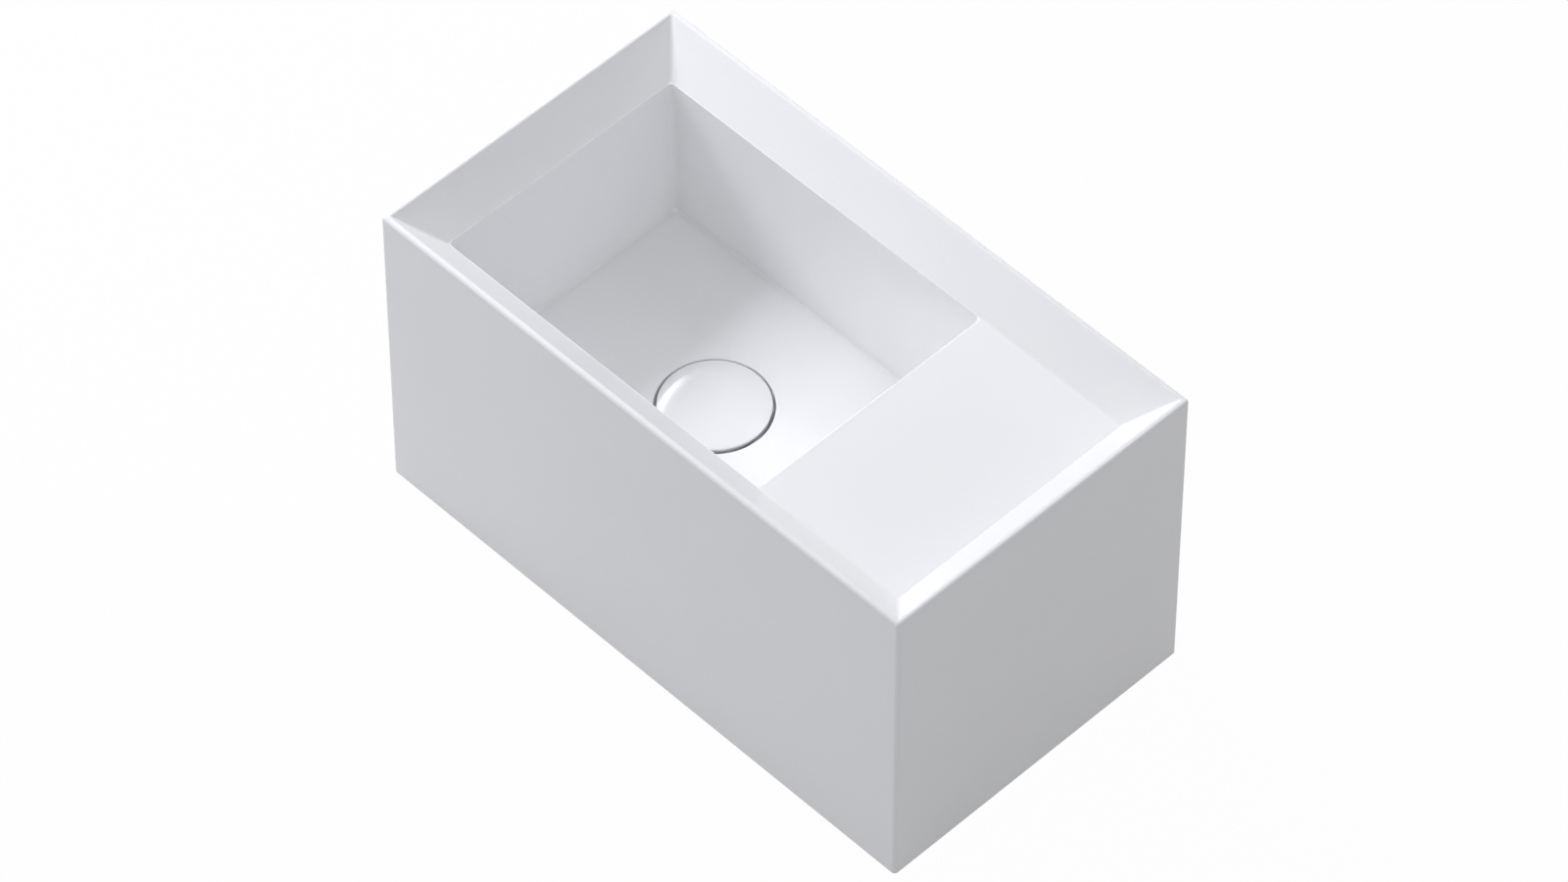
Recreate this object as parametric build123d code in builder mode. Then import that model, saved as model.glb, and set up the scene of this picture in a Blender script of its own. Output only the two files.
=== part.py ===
"""Compact ceramic hand basin with an offset bowl, a flat ledge and a push-open waste.

Frame: +X runs along the width with the ledge on the +X side, +Y points to the wall and
+Z is up. The origin is the centre of the underside. Every length is in millimetres.
"""

import os
from math import radians, tan

from build123d import *

# Basin casting: outside
width = 400.0
depth = 221.0
height = 218.0
upright_edge_radius = 2.5
base_edge_radius = 1.0

# Basin casting: rim and the sloping band inside it
rim_flat = 3.5  # crest of the rim before its two edges are rounded
rim_radius = 2.2
band_width = 25.5  # outer face to the foot of the band, in plan
band_angle = 45.0  # below the horizontal
band_corner_radius = 1.5

# Basin casting: bowl and ledge
ledge_length = 107.0
bowl_lip = 0.6  # level strip between the foot of the band and the bowl wall
bowl_depth = 103.0  # below the ledge
bowl_end_draft = 1.5  # left and right walls, in degrees
bowl_side_draft = 0.3  # front and back walls, in degrees
bowl_corner_radius = 3.0
bowl_lip_radius = 0.5
bowl_floor_radius = 2.0
floor_margin = 14.0  # level strip of floor along the bowl walls
floor_fall = 3.5

# Basin casting: thicknesses and the hollow underside
skirt_thickness = 10.0
bowl_wall = 10.0
bowl_floor_thickness = 12.0
ledge_thickness = 12.0
hollow_corner_radius = 8.0
drain_boss_radius = 42.0
drain_boss_wall = 12.0

# Basin casting: back wall
fixing_spacing = 280.0
fixing_drop = 21.0  # below the bowl's underside
fixing_hole_radius = 8.0
fixing_pad_radius = 19.0
fixing_pad_thickness = 4.0
notch_width = 120.0
notch_height = 42.0
notch_corner_radius = 12.0

# Drain seat in the bowl floor
drain_hole_radius = 22.5
recess_depth = 9.0
recess_edge_radius = 0.8

# Wall-fixing bushes
stud_bore_radius = 5.3
bush_collar_radius = 13.0
bush_collar_thickness = 3.0
bush_hole_clearance = 0.1

# Waste body: G 1 1/4 threaded tail with a flange
tail_radius = 20.955
tail_bore_radius = 17.5
tail_length = 74.0
tail_chamfer = 1.2
thread_relief_depth = 1.5  # groove that parts the nut's thread from the trap's
thread_relief_width = 2.0
thread_relief_drop = 1.0  # below the back nut
flange_radius = 31.5
flange_thickness = 2.5
flange_mouth_chamfer = 1.5
hub_drop = 40.0  # hub's top below the flange's top
hub_height = 8.0
hub_radius = 11.0
arm_count = 3
arm_width = 3.0

# Waste body: what seals and clamps it
gasket_thickness = 1.5
gasket_margin = 0.5  # gasket edges inside the flange and outside the tail
cone_spigot_height = 4.0
cone_spigot_clearance = 0.3
cone_flange_radius = 31.0
cone_flange_height = 8.0
cone_taper = 5.0  # how much narrower the cone washer's underside is
slip_washer_radius = 29.0
slip_washer_thickness = 2.0
back_nut_flats = 52.0
back_nut_thickness = 9.0
washer_clearance = 0.3
thread_clearance = 0.05

# Cap and what lifts with it
cap_radius = 32.4
cap_gap = 1.7  # ring of shadow between the cap and its recess
cap_lift = 9.0
cap_edge_height = 3.4  # upright part of the cap's edge
cap_shoulder_width = 2.2
cap_shoulder_height = 0.9
cap_crown = 2.2  # rise from the shoulder to the centre
plate_radius = 28.0
plate_thickness = 2.5
plate_boss_radius = 6.0
plate_boss_length = 7.0
plate_fit = 0.05
seal_outer_radius = 27.0
seal_inner_radius = 23.0
seal_height = 2.0
seal_groove_depth = 1.0
seat_clearance = 0.2  # seal above the flange with the cap shut
locknut_flats = 10.0
locknut_thickness = 3.0

# Push-open cartridge
rod_radius = 3.0
rod_thread_length = 6.5
guide_clearance = 0.08
housing_radius = 8.0
housing_bore_radius = 6.0
housing_gap = 1.5  # locknut above the housing with the cap shut
housing_top_wall = 2.0
housing_collar_radius = 10.0
housing_collar_thickness = 2.0
crown_radius = 5.6
crown_height = 7.0
crown_top_clearance = 0.3
pilot_radius = 2.2
pilot_length = 6.5
rotor_clearance = 0.4
rotor_height = 5.0
tooth_count = 8
tooth_depth = 1.2
tooth_gap_width = 1.1
spring_length = 18.0
spring_wire_radius = 0.5
spring_coil_radius = 4.2
spring_turns = 6
spring_end_clearance = 0.1
end_plug_thickness = 3.0
end_plug_spigot = 2.5
end_plug_clearance = 0.05

# Levels of the casting, from the base up
ledge_z = height - (band_width - rim_flat) * tan(radians(band_angle))
floor_z = ledge_z - bowl_depth
drain_floor_z = floor_z - floor_fall
recess_z = drain_floor_z - recess_depth
boss_z = recess_z - drain_boss_wall
bowl_underside_z = floor_z - bowl_floor_thickness
hollow_top_z = ledge_z - ledge_thickness
fixing_z = bowl_underside_z - fixing_drop

# Plan of the casting
well_length = width - 2 * band_width
well_width = depth - 2 * band_width
bowl_length = well_length - ledge_length - bowl_lip
bowl_width = well_width - 2 * bowl_lip
bowl_x = -well_length / 2 + bowl_lip + bowl_length / 2
band_run = (height + rim_radius - ledge_z) / tan(radians(band_angle))
back_y = depth / 2
end_taper = bowl_depth * tan(radians(bowl_end_draft))
side_taper = bowl_depth * tan(radians(bowl_side_draft))
recess_radius = cap_radius + cap_gap

# Levels of the waste, from the recess down and up
flange_z = recess_z + gasket_thickness
flange_top_z = flange_z + flange_thickness
tail_z = flange_z - tail_length
cone_z = boss_z - cone_flange_height
slip_z = cone_z - slip_washer_thickness
back_nut_z = slip_z - back_nut_thickness
hub_top_z = flange_top_z - hub_drop
seal_z = flange_top_z + seat_clearance
plate_z = seal_z + seal_height - seal_groove_depth
plate_boss_z = plate_z - plate_boss_length
locknut_z = plate_boss_z - locknut_thickness
housing_top_z = locknut_z - housing_gap
crown_top_z = housing_top_z - housing_top_wall - crown_top_clearance - cap_lift
crown_z = crown_top_z - crown_height
rotor_top_z = crown_z - rotor_clearance
rotor_z = rotor_top_z - rotor_height
spring_z = rotor_z - spring_end_clearance - spring_length
housing_z = spring_z - spring_end_clearance - end_plug_spigot

# Planes and axes that the pieces share
drain_axis = Axis((bowl_x, 0, 0), (0, 0, 1))
drain_section = Plane((bowl_x, 0, 0), x_dir=(1, 0, 0), z_dir=(0, -1, 0))
back_plane = Plane.XZ.offset(-back_y)
fixing_points = [(side * fixing_spacing / 2, fixing_z) for side in (-1, 1)]
selection_reach = 0.01  # how far from a level a face or edge may be, to count as on it


def drain_plane(z):
    """Horizontal plane at height z, centred on the drain."""
    return Plane((bowl_x, 0, z))


def at_level(shapes, z):
    """Those of the faces or edges whose centres lie at height z."""
    return shapes.filter_by_position(Axis.Z, z - selection_reach, z + selection_reach)


# Basin casting
with BuildPart() as basin_body:
    with BuildSketch():
        RectangleRounded(width, depth, upright_edge_radius)
    extrude(amount=height)
    fillet(faces().sort_by(Axis.Z)[-1].edges(), rim_radius)
    fillet(faces().sort_by(Axis.Z)[0].edges(), base_edge_radius)

    # Sloping band inside the rim, down to the ledge
    with BuildSketch(Plane.XY.offset(ledge_z)):
        Rectangle(well_length, well_width)
    with BuildSketch(Plane.XY.offset(height + rim_radius)):
        Rectangle(well_length + 2 * band_run, well_width + 2 * band_run)
    loft(ruled=True, mode=Mode.SUBTRACT)
    sloping_edges = edges().filter_by(lambda edge: 0.1 < abs(edge.tangent_at(0).Z) < 0.9)
    fillet(sloping_edges.filter_by_position(Axis.Z, ledge_z, height), band_corner_radius)
    fillet(at_level(faces(), height)[0].inner_wires()[0].edges(), rim_radius)

    # Bowl
    with BuildSketch(Plane.XY.offset(ledge_z)):
        with Locations((bowl_x, 0)):
            RectangleRounded(bowl_length, bowl_width, bowl_corner_radius)
    with BuildSketch(Plane.XY.offset(floor_z)):
        with Locations((bowl_x, 0)):
            RectangleRounded(
                bowl_length - 2 * end_taper, bowl_width - 2 * side_taper, bowl_corner_radius
            )
    loft(ruled=True, mode=Mode.SUBTRACT)
    fillet(at_level(edges(), floor_z), bowl_floor_radius)
    fillet(at_level(faces(), ledge_z)[0].inner_wires()[0].edges(), bowl_lip_radius)

    # Hollow underside: below the bowl, then up around it to the ledge's underside
    with BuildSketch():
        RectangleRounded(
            width - 2 * skirt_thickness, depth - 2 * skirt_thickness, hollow_corner_radius
        )
    extrude(amount=bowl_underside_z, mode=Mode.SUBTRACT)
    with BuildSketch(Plane.XY.offset(bowl_underside_z)):
        RectangleRounded(
            width - 2 * skirt_thickness, depth - 2 * skirt_thickness, hollow_corner_radius
        )
        with Locations((bowl_x, 0)):
            RectangleRounded(
                bowl_length + 2 * bowl_wall,
                bowl_width + 2 * bowl_wall,
                hollow_corner_radius,
                mode=Mode.SUBTRACT,
            )
    extrude(amount=hollow_top_z - bowl_underside_z, mode=Mode.SUBTRACT)

    # Floor that falls to the drain, the cap's recess and the drain hole
    with BuildSketch(Plane.XY.offset(floor_z)):
        with Locations((bowl_x, 0)):
            RectangleRounded(
                bowl_length - 2 * (end_taper + floor_margin),
                bowl_width - 2 * (side_taper + floor_margin),
                recess_radius,
            )
    with BuildSketch(drain_plane(drain_floor_z)):
        Circle(recess_radius + 2 * recess_edge_radius)
    loft(mode=Mode.SUBTRACT)
    with BuildSketch(drain_plane(boss_z)):
        Circle(drain_boss_radius)
    extrude(amount=bowl_underside_z - boss_z)
    with BuildSketch(drain_plane(recess_z)):
        Circle(recess_radius)
    extrude(amount=floor_z - recess_z, mode=Mode.SUBTRACT)
    recess_rim = at_level(edges().filter_by(GeomType.CIRCLE), drain_floor_z)
    fillet(recess_rim.sort_by(SortBy.RADIUS)[0], recess_edge_radius)
    with BuildSketch(drain_plane(boss_z)):
        Circle(drain_hole_radius)
    extrude(amount=recess_z - boss_z, mode=Mode.SUBTRACT)

    # Back wall: pads and holes for the wall studs, and a notch for pipes
    with BuildSketch(back_plane):
        with Locations(*fixing_points):
            Circle(fixing_pad_radius)
    extrude(amount=skirt_thickness + fixing_pad_thickness)
    with BuildSketch(back_plane):
        with Locations(*fixing_points):
            Circle(fixing_hole_radius)
    extrude(amount=skirt_thickness + fixing_pad_thickness, mode=Mode.SUBTRACT)
    with BuildSketch(back_plane):
        with Locations((bowl_x, notch_height / 2 - notch_corner_radius)):
            RectangleRounded(
                notch_width, notch_height + 2 * notch_corner_radius, notch_corner_radius
            )
    extrude(amount=skirt_thickness, mode=Mode.SUBTRACT)

# Bushes that line the two fixing holes
with BuildPart() as fixing_bushes:
    with BuildSketch(back_plane):
        with Locations(*fixing_points):
            Circle(fixing_hole_radius - bush_hole_clearance)
    extrude(amount=skirt_thickness + fixing_pad_thickness)
    with BuildSketch(back_plane.offset(skirt_thickness + fixing_pad_thickness)):
        with Locations(*fixing_points):
            Circle(bush_collar_radius)
    extrude(amount=bush_collar_thickness)
    with BuildSketch(back_plane):
        with Locations(*fixing_points):
            Circle(stud_bore_radius)
    extrude(
        amount=skirt_thickness + fixing_pad_thickness + bush_collar_thickness,
        mode=Mode.SUBTRACT,
    )

# Waste body: flange, tail, and a hub on arms that carries the cartridge
with BuildPart() as waste_body:
    with BuildSketch(drain_plane(tail_z)):
        Circle(tail_radius)
    extrude(amount=flange_z - tail_z)
    chamfer(edges().sort_by(Axis.Z)[0], tail_chamfer)
    with BuildSketch(drain_plane(back_nut_z - thread_relief_drop)):
        Circle(tail_radius)
        Circle(tail_radius - thread_relief_depth, mode=Mode.SUBTRACT)
    extrude(amount=-thread_relief_width, mode=Mode.SUBTRACT)
    with BuildSketch(drain_plane(flange_z)):
        Circle(flange_radius)
    extrude(amount=flange_thickness)
    fillet(edges().sort_by(Axis.Z)[-1], flange_thickness / 3)
    with BuildSketch(drain_plane(tail_z)):
        Circle(tail_bore_radius)
    extrude(amount=flange_top_z - tail_z, mode=Mode.SUBTRACT)
    flange_top = at_level(edges().filter_by(GeomType.CIRCLE), flange_top_z)
    chamfer(flange_top.sort_by(SortBy.RADIUS)[0], flange_mouth_chamfer)
    with BuildSketch(drain_plane(hub_top_z - hub_height)):
        Circle(hub_radius)
        with PolarLocations(0, arm_count):
            Rectangle(
                (tail_radius + tail_bore_radius) / 2,
                arm_width,
                align=(Align.MIN, Align.CENTER),
            )
        Circle(housing_radius + thread_clearance, mode=Mode.SUBTRACT)
    extrude(amount=hub_height)

# Seals, washer and nut that clamp the waste to the casting
with BuildPart() as flange_gasket:
    with BuildSketch(drain_plane(recess_z)):
        Circle(flange_radius - gasket_margin)
        Circle(drain_hole_radius + gasket_margin, mode=Mode.SUBTRACT)
    extrude(amount=gasket_thickness)

with BuildPart() as cone_washer:
    with BuildSketch(drain_section):
        Polygon(
            (tail_radius + washer_clearance, cone_z),
            (cone_flange_radius - cone_taper, cone_z),
            (cone_flange_radius, cone_z + cone_taper),
            (cone_flange_radius, boss_z),
            (drain_hole_radius - cone_spigot_clearance, boss_z),
            (drain_hole_radius - cone_spigot_clearance, boss_z + cone_spigot_height),
            (tail_radius + washer_clearance, boss_z + cone_spigot_height),
            align=None,
        )
    revolve(axis=drain_axis)

with BuildPart() as slip_washer:
    with BuildSketch(drain_plane(slip_z)):
        Circle(slip_washer_radius)
        Circle(tail_radius + washer_clearance, mode=Mode.SUBTRACT)
    extrude(amount=slip_washer_thickness)

with BuildPart() as back_nut:
    with BuildSketch(drain_plane(back_nut_z)):
        RegularPolygon(back_nut_flats / 2, 6, major_radius=False)
        Circle(tail_radius + thread_clearance, mode=Mode.SUBTRACT)
    extrude(amount=back_nut_thickness)

# Ceramic cap: upright edge, small rounded shoulder and a domed crown, hollowed for its plate
shoulder_radius = cap_radius - cap_shoulder_width
shoulder_z = plate_z + cap_edge_height + cap_shoulder_height
with BuildPart() as waste_cap:
    with BuildSketch(drain_section):
        with BuildLine():
            edge_line = Line((cap_radius, plate_z), (cap_radius, plate_z + cap_edge_height))
            shoulder = Bezier(
                edge_line @ 1,
                (cap_radius, shoulder_z - cap_shoulder_height / 3),
                (
                    shoulder_radius + cap_shoulder_width / 2,
                    shoulder_z - cap_crown * cap_shoulder_width / shoulder_radius,
                ),
                (shoulder_radius, shoulder_z),
            )
            crown = Bezier(
                shoulder @ 1,
                (shoulder_radius / 2, shoulder_z + cap_crown),
                (0, shoulder_z + cap_crown),
            )
            Polyline(crown @ 1, (0, plate_z), edge_line @ 0)
        make_face()
    revolve(axis=drain_axis)
    with BuildSketch(drain_plane(plate_z)):
        Circle(plate_radius + plate_fit)
    extrude(amount=plate_thickness + plate_fit, mode=Mode.SUBTRACT)

# Plate glued into the cap, with a threaded boss and a groove for the seal
with BuildPart() as cap_plate:
    with BuildSketch(drain_plane(plate_z)):
        Circle(plate_radius)
    extrude(amount=plate_thickness)
    with BuildSketch(drain_plane(plate_boss_z)):
        Circle(plate_boss_radius)
    extrude(amount=plate_boss_length)
    with BuildSketch(drain_plane(plate_z)):
        Circle(seal_outer_radius)
        Circle(seal_inner_radius, mode=Mode.SUBTRACT)
    extrude(amount=seal_groove_depth, mode=Mode.SUBTRACT)
    with BuildSketch(drain_plane(plate_boss_z)):
        Circle(rod_radius + thread_clearance)
    extrude(amount=rod_thread_length + thread_clearance, mode=Mode.SUBTRACT)

with BuildPart() as cap_seal:
    with BuildSketch(drain_plane(seal_z)):
        Circle(seal_outer_radius - thread_clearance)
        Circle(seal_inner_radius + thread_clearance, mode=Mode.SUBTRACT)
    extrude(amount=seal_height)
    fillet(faces().sort_by(Axis.Z)[0].edges(), seal_height / 5)

with BuildPart() as height_locknut:
    with BuildSketch(drain_plane(locknut_z)):
        RegularPolygon(locknut_flats / 2, 6, major_radius=False)
        Circle(rod_radius + thread_clearance, mode=Mode.SUBTRACT)
    extrude(amount=locknut_thickness)

# Plunger: threaded rod, toothed crown and a pilot for the rotor
with BuildPart() as plunger:
    with BuildSketch(drain_plane(crown_top_z)):
        Circle(rod_radius)
    extrude(amount=plate_boss_z + rod_thread_length - crown_top_z)
    with BuildSketch(drain_plane(crown_z)):
        Circle(crown_radius)
    extrude(amount=crown_height)
    with BuildSketch(drain_plane(crown_z)):
        with PolarLocations(crown_radius, tooth_count):
            Rectangle(crown_radius - pilot_radius, tooth_gap_width)
    extrude(amount=tooth_depth, mode=Mode.SUBTRACT)
    with BuildSketch(drain_plane(crown_z)):
        Circle(pilot_radius)
    extrude(amount=-pilot_length)

with BuildPart() as index_rotor:
    with BuildSketch(drain_plane(rotor_z)):
        Circle(crown_radius)
        Circle(pilot_radius + guide_clearance, mode=Mode.SUBTRACT)
    extrude(amount=rotor_height)
    with BuildSketch(drain_plane(rotor_top_z)):
        with PolarLocations(crown_radius, tooth_count):
            Rectangle(crown_radius - pilot_radius, tooth_gap_width)
    extrude(amount=-tooth_depth, mode=Mode.SUBTRACT)

spring_rise = spring_length - 2 * spring_wire_radius
with BuildPart() as return_spring:
    with BuildLine(drain_plane(spring_z + spring_wire_radius)):
        coil = Helix(spring_rise / spring_turns, spring_rise, spring_coil_radius)
    with BuildSketch(Plane(origin=coil @ 0, z_dir=coil % 0)):
        Circle(spring_wire_radius)
    sweep(is_frenet=True)

# Cartridge housing, screwed into the hub, and the plug that carries the spring
with BuildPart() as cartridge_housing:
    with BuildSketch(drain_plane(housing_z)):
        Circle(housing_radius)
    extrude(amount=housing_top_z - housing_z)
    with BuildSketch(drain_plane(hub_top_z)):
        Circle(housing_collar_radius)
    extrude(amount=housing_collar_thickness)
    with BuildSketch(drain_plane(housing_z)):
        Circle(housing_bore_radius)
    extrude(amount=housing_top_z - housing_top_wall - housing_z, mode=Mode.SUBTRACT)
    with BuildSketch(drain_plane(housing_top_z)):
        Circle(rod_radius + guide_clearance)
    extrude(amount=-housing_top_wall, mode=Mode.SUBTRACT)

with BuildPart() as cartridge_plug:
    with BuildSketch(drain_plane(housing_z)):
        Circle(housing_bore_radius - end_plug_clearance)
    extrude(amount=end_plug_spigot)
    with BuildSketch(drain_plane(housing_z)):
        Circle(housing_radius)
    extrude(amount=-end_plug_thickness)

pieces = {
    "basin_body": basin_body,
    "fixing_bushes": fixing_bushes,
    "waste_body": waste_body,
    "flange_gasket": flange_gasket,
    "cone_washer": cone_washer,
    "slip_washer": slip_washer,
    "back_nut": back_nut,
    "waste_cap": waste_cap,
    "cap_plate": cap_plate,
    "cap_seal": cap_seal,
    "height_locknut": height_locknut,
    "plunger": plunger,
    "index_rotor": index_rotor,
    "return_spring": return_spring,
    "cartridge_housing": cartridge_housing,
    "cartridge_plug": cartridge_plug,
}
os.makedirs("parts", exist_ok=True)
for name, piece in pieces.items():
    piece.part.label = name
    export_step(piece.part, f"parts/{name}.step")
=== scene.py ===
"""Looks for a compact ceramic hand basin: casting, cap, waste fittings and a plain studio.

Lengths are in metres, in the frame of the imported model: +X runs along the width with the
ledge on the +X side, +Y points to the wall, +Z is up, and the origin is the centre of the
underside.
"""

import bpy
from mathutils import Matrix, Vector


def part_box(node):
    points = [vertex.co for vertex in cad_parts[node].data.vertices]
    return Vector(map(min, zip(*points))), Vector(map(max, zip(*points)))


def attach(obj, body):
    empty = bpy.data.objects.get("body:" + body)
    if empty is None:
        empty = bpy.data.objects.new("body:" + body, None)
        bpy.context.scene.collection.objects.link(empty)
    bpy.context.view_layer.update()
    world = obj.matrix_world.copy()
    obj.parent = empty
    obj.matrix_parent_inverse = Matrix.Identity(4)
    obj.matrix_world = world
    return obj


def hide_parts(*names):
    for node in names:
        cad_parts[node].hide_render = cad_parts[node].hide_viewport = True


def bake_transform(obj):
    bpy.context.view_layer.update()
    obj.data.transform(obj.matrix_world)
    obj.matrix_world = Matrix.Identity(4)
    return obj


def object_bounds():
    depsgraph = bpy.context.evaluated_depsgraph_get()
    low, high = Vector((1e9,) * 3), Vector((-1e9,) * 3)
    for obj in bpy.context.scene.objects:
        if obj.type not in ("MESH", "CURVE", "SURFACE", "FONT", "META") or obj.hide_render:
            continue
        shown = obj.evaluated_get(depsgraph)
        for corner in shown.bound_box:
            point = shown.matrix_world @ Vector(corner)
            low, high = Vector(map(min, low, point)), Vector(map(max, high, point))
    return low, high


bl_info = {
    "name": "Hand Basin",
    "version": (1, 0, 0),
    "blender": (4, 5, 0),
    "location": "3D View > Sidebar > Hand Basin",
    "description": "Builds the glazed casting, cap, waste fittings and stage of a hand basin",
    "category": "Object",
}

from math import atan, cos, pi, radians, sin, tan, tau

import bpy
import numpy as np
from mathutils import Vector

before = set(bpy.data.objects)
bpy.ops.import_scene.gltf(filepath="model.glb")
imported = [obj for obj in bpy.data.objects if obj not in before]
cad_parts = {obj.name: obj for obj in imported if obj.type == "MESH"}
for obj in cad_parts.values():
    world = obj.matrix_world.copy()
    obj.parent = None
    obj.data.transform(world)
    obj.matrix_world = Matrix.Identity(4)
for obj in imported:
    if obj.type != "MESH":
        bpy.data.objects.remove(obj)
cad_low, cad_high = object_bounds()

MM = 0.001

# Places that the CAD gives
CASTING_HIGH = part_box("basin_body")[1]
CAP_LOW, CAP_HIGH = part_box("waste_cap")
PLATE_LOW, PLATE_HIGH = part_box("cap_plate")
SEAL_LOW, SEAL_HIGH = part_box("cap_seal")
GASKET_LOW, GASKET_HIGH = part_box("flange_gasket")
CONE_LOW, CONE_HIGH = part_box("cone_washer")
SLIP_LOW, SLIP_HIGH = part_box("slip_washer")
NUT_LOW, NUT_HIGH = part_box("back_nut")
WASTE_LOW, WASTE_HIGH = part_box("waste_body")
SPRING_LOW, SPRING_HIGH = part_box("return_spring")
BUSH_LOW, BUSH_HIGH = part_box("fixing_bushes")
DRAIN_X = (CAP_LOW.x + CAP_HIGH.x) / 2
HALF_LENGTH = CASTING_HIGH.x
HALF_WIDTH = CASTING_HIGH.y
TOP_Z = CASTING_HIGH.z

# Sizes of the casting that its box doesn't give
BAND_WIDTH = 25.5 * MM
RIM_FLAT = 3.5 * MM
LEDGE_LENGTH = 107.0 * MM
BOWL_LIP = 0.6 * MM
BOWL_DEPTH = 103.0 * MM
BOWL_END_DRAFT = radians(1.9)
BOWL_SIDE_DRAFT = radians(0.0)
FLOOR_MARGIN = 14.0 * MM
SKIRT_THICKNESS = 10.0 * MM
BOWL_WALL = 10.0 * MM
BOWL_FLOOR_THICKNESS = 12.0 * MM
LEDGE_THICKNESS = 12.0 * MM
HOLLOW_CORNER_RADIUS = 8.0 * MM
DRAIN_BOSS_RADIUS = 42.0 * MM
DRAIN_HOLE_RADIUS = 22.5 * MM
RECESS_RADIUS = 34.1 * MM
FIXING_SPACING = 280.0 * MM
FIXING_HOLE_RADIUS = 8.0 * MM
FIXING_PAD_RADIUS = 19.0 * MM
FIXING_PAD_THICKNESS = 4.0 * MM
NOTCH_WIDTH = 120.0 * MM
NOTCH_HEIGHT = 42.0 * MM
NOTCH_CORNER_RADIUS = 12.0 * MM

# Roundings of the casting
NOTCH_FLARE = 1.2 * MM
HOLE_FLARE = 0.8 * MM
HOLLOW_FILLET = 2.5 * MM
HOLLOW_STEP = 2.6 * MM  # from a wall's side along the hollow's top, past its fillet
FOOT_EDGE = 1.0 * MM
RECESS_EDGE = 0.8 * MM
LIP_RADIUS = 0.45 * MM

# Fillet at the foot of the band: above the bowl's walls, at the right, and beside the ledge
FILLET_AT_BOWL = 0.2 * MM
FILLET_AT_RIGHT = 1.4 * MM
FILLET_BEHIND = 1.8 * MM
FILLET_IN_FRONT = 5.2 * MM
BAND_STOP = 3.0 * MM  # where the plain slope ends; no fillet reaches as far

# Allowances
OVERRUN = 4.0 * MM  # how far a pad or a cutter runs past the face that it meets
HAIR = 0.01 * MM  # keeps two faces out of one plane

# Sizes of the fittings that their boxes don't give
TAIL_RADIUS = 20.955 * MM
WASTE_BORE_RADIUS = 17.5 * MM
FLANGE_THICKNESS = 2.5 * MM
RELIEF_DEPTH = 1.5 * MM
RELIEF_WIDTH = 2.0 * MM
RELIEF_DROP = 1.0 * MM
TAIL_CHAMFER = 1.2 * MM
BORE_EDGE = 1.5 * MM  # slope from the flange into the bore
HUB_RADIUS = 11.0 * MM
HUB_BORE_RADIUS = 8.05 * MM
HUB_DROP = 40.0 * MM
HUB_HEIGHT = 8.0 * MM
ARM_WIDTH = 3.0 * MM
ARM_FILLET = 0.6 * MM
NUT_FLATS = 52.0 * MM
NUT_BORE_RADIUS = 21.005 * MM
WASHER_BORE_RADIUS = 21.255 * MM
CONE_FOOT_RADIUS = 26.0 * MM
CONE_COLLAR_RADIUS = 22.2 * MM
CONE_COLLAR_HEIGHT = 4.0 * MM
CONE_HEIGHT = 8.0 * MM  # below its collar
GASKET_BORE_RADIUS = 23.0 * MM
SEAL_BORE_RADIUS = 23.05 * MM
BUSH_BORE_RADIUS = 5.3 * MM
BUSH_RADIUS = 7.9 * MM
BUSH_COLLAR_RADIUS = 13.0 * MM
BUSH_COLLAR_THICKNESS = 3.0 * MM

# Levels, and depths at the back
LEDGE_Z = TOP_Z - (BAND_WIDTH - RIM_FLAT)
FLOOR_Z = LEDGE_Z - BOWL_DEPTH
RECESS_Z = GASKET_LOW.z
SEAM_Z = RECESS_Z - 2.0 * MM  # in the drain hole, where the surface starts and ends
BOSS_Z = SLIP_HIGH.z + CONE_HEIGHT
UNDERSIDE_Z = FLOOR_Z - BOWL_FLOOR_THICKNESS
HOLLOW_TOP_Z = LEDGE_Z - LEDGE_THICKNESS
FIXING_Z = (BUSH_LOW.z + BUSH_HIGH.z) / 2
HUB_HIGH = WASTE_HIGH.z - HUB_DROP
HUB_LOW = HUB_HIGH - HUB_HEIGHT
WALL_INSIDE_Y = HALF_WIDTH - SKIRT_THICKNESS
PAD_Y = WALL_INSIDE_Y - FIXING_PAD_THICKNESS

# Plan of the bowl's mouth
FOOT_HALF_LENGTH = HALF_LENGTH - BAND_WIDTH
FOOT_HALF_WIDTH = HALF_WIDTH - BAND_WIDTH
BOWL_HALF_LENGTH = (2 * FOOT_HALF_LENGTH - LEDGE_LENGTH - BOWL_LIP) / 2
BOWL_HALF_WIDTH = FOOT_HALF_WIDTH - BOWL_LIP
BOWL_X = -FOOT_HALF_LENGTH + BOWL_LIP + BOWL_HALF_LENGTH
BOWL_RIGHT = BOWL_X + BOWL_HALF_LENGTH
END_TAPER = BOWL_DEPTH * tan(BOWL_END_DRAFT)
SIDE_TAPER = BOWL_DEPTH * tan(BOWL_SIDE_DRAFT)


# ---------------------------------------------------------------- sizes and colours


def linear(hex_colour):
    """Linear red, green and blue of an sRGB hex colour."""
    channels = np.array([int(hex_colour[at : at + 2], 16) for at in (0, 2, 4)]) / 255
    return tuple(
        np.where(channels <= 0.04045, channels / 12.92, ((channels + 0.055) / 1.055) ** 2.4)
    )


def length(name, description, default):
    """A length property, in metres."""
    return bpy.props.FloatProperty(
        name=name, description=description, default=default, min=0.0, precision=5, unit="LENGTH"
    )


def colour(name, description, hex_colour):
    """A colour property whose default is an sRGB hex colour."""
    return bpy.props.FloatVectorProperty(
        name=name,
        description=description,
        default=linear(hex_colour),
        size=3,
        min=0.0,
        max=1.0,
        subtype="COLOR",
    )


def share(name, description, default):
    """A plain number from 0 to 1."""
    return bpy.props.FloatProperty(
        name=name, description=description, default=default, min=0.0, max=1.0, subtype="FACTOR"
    )


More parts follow.
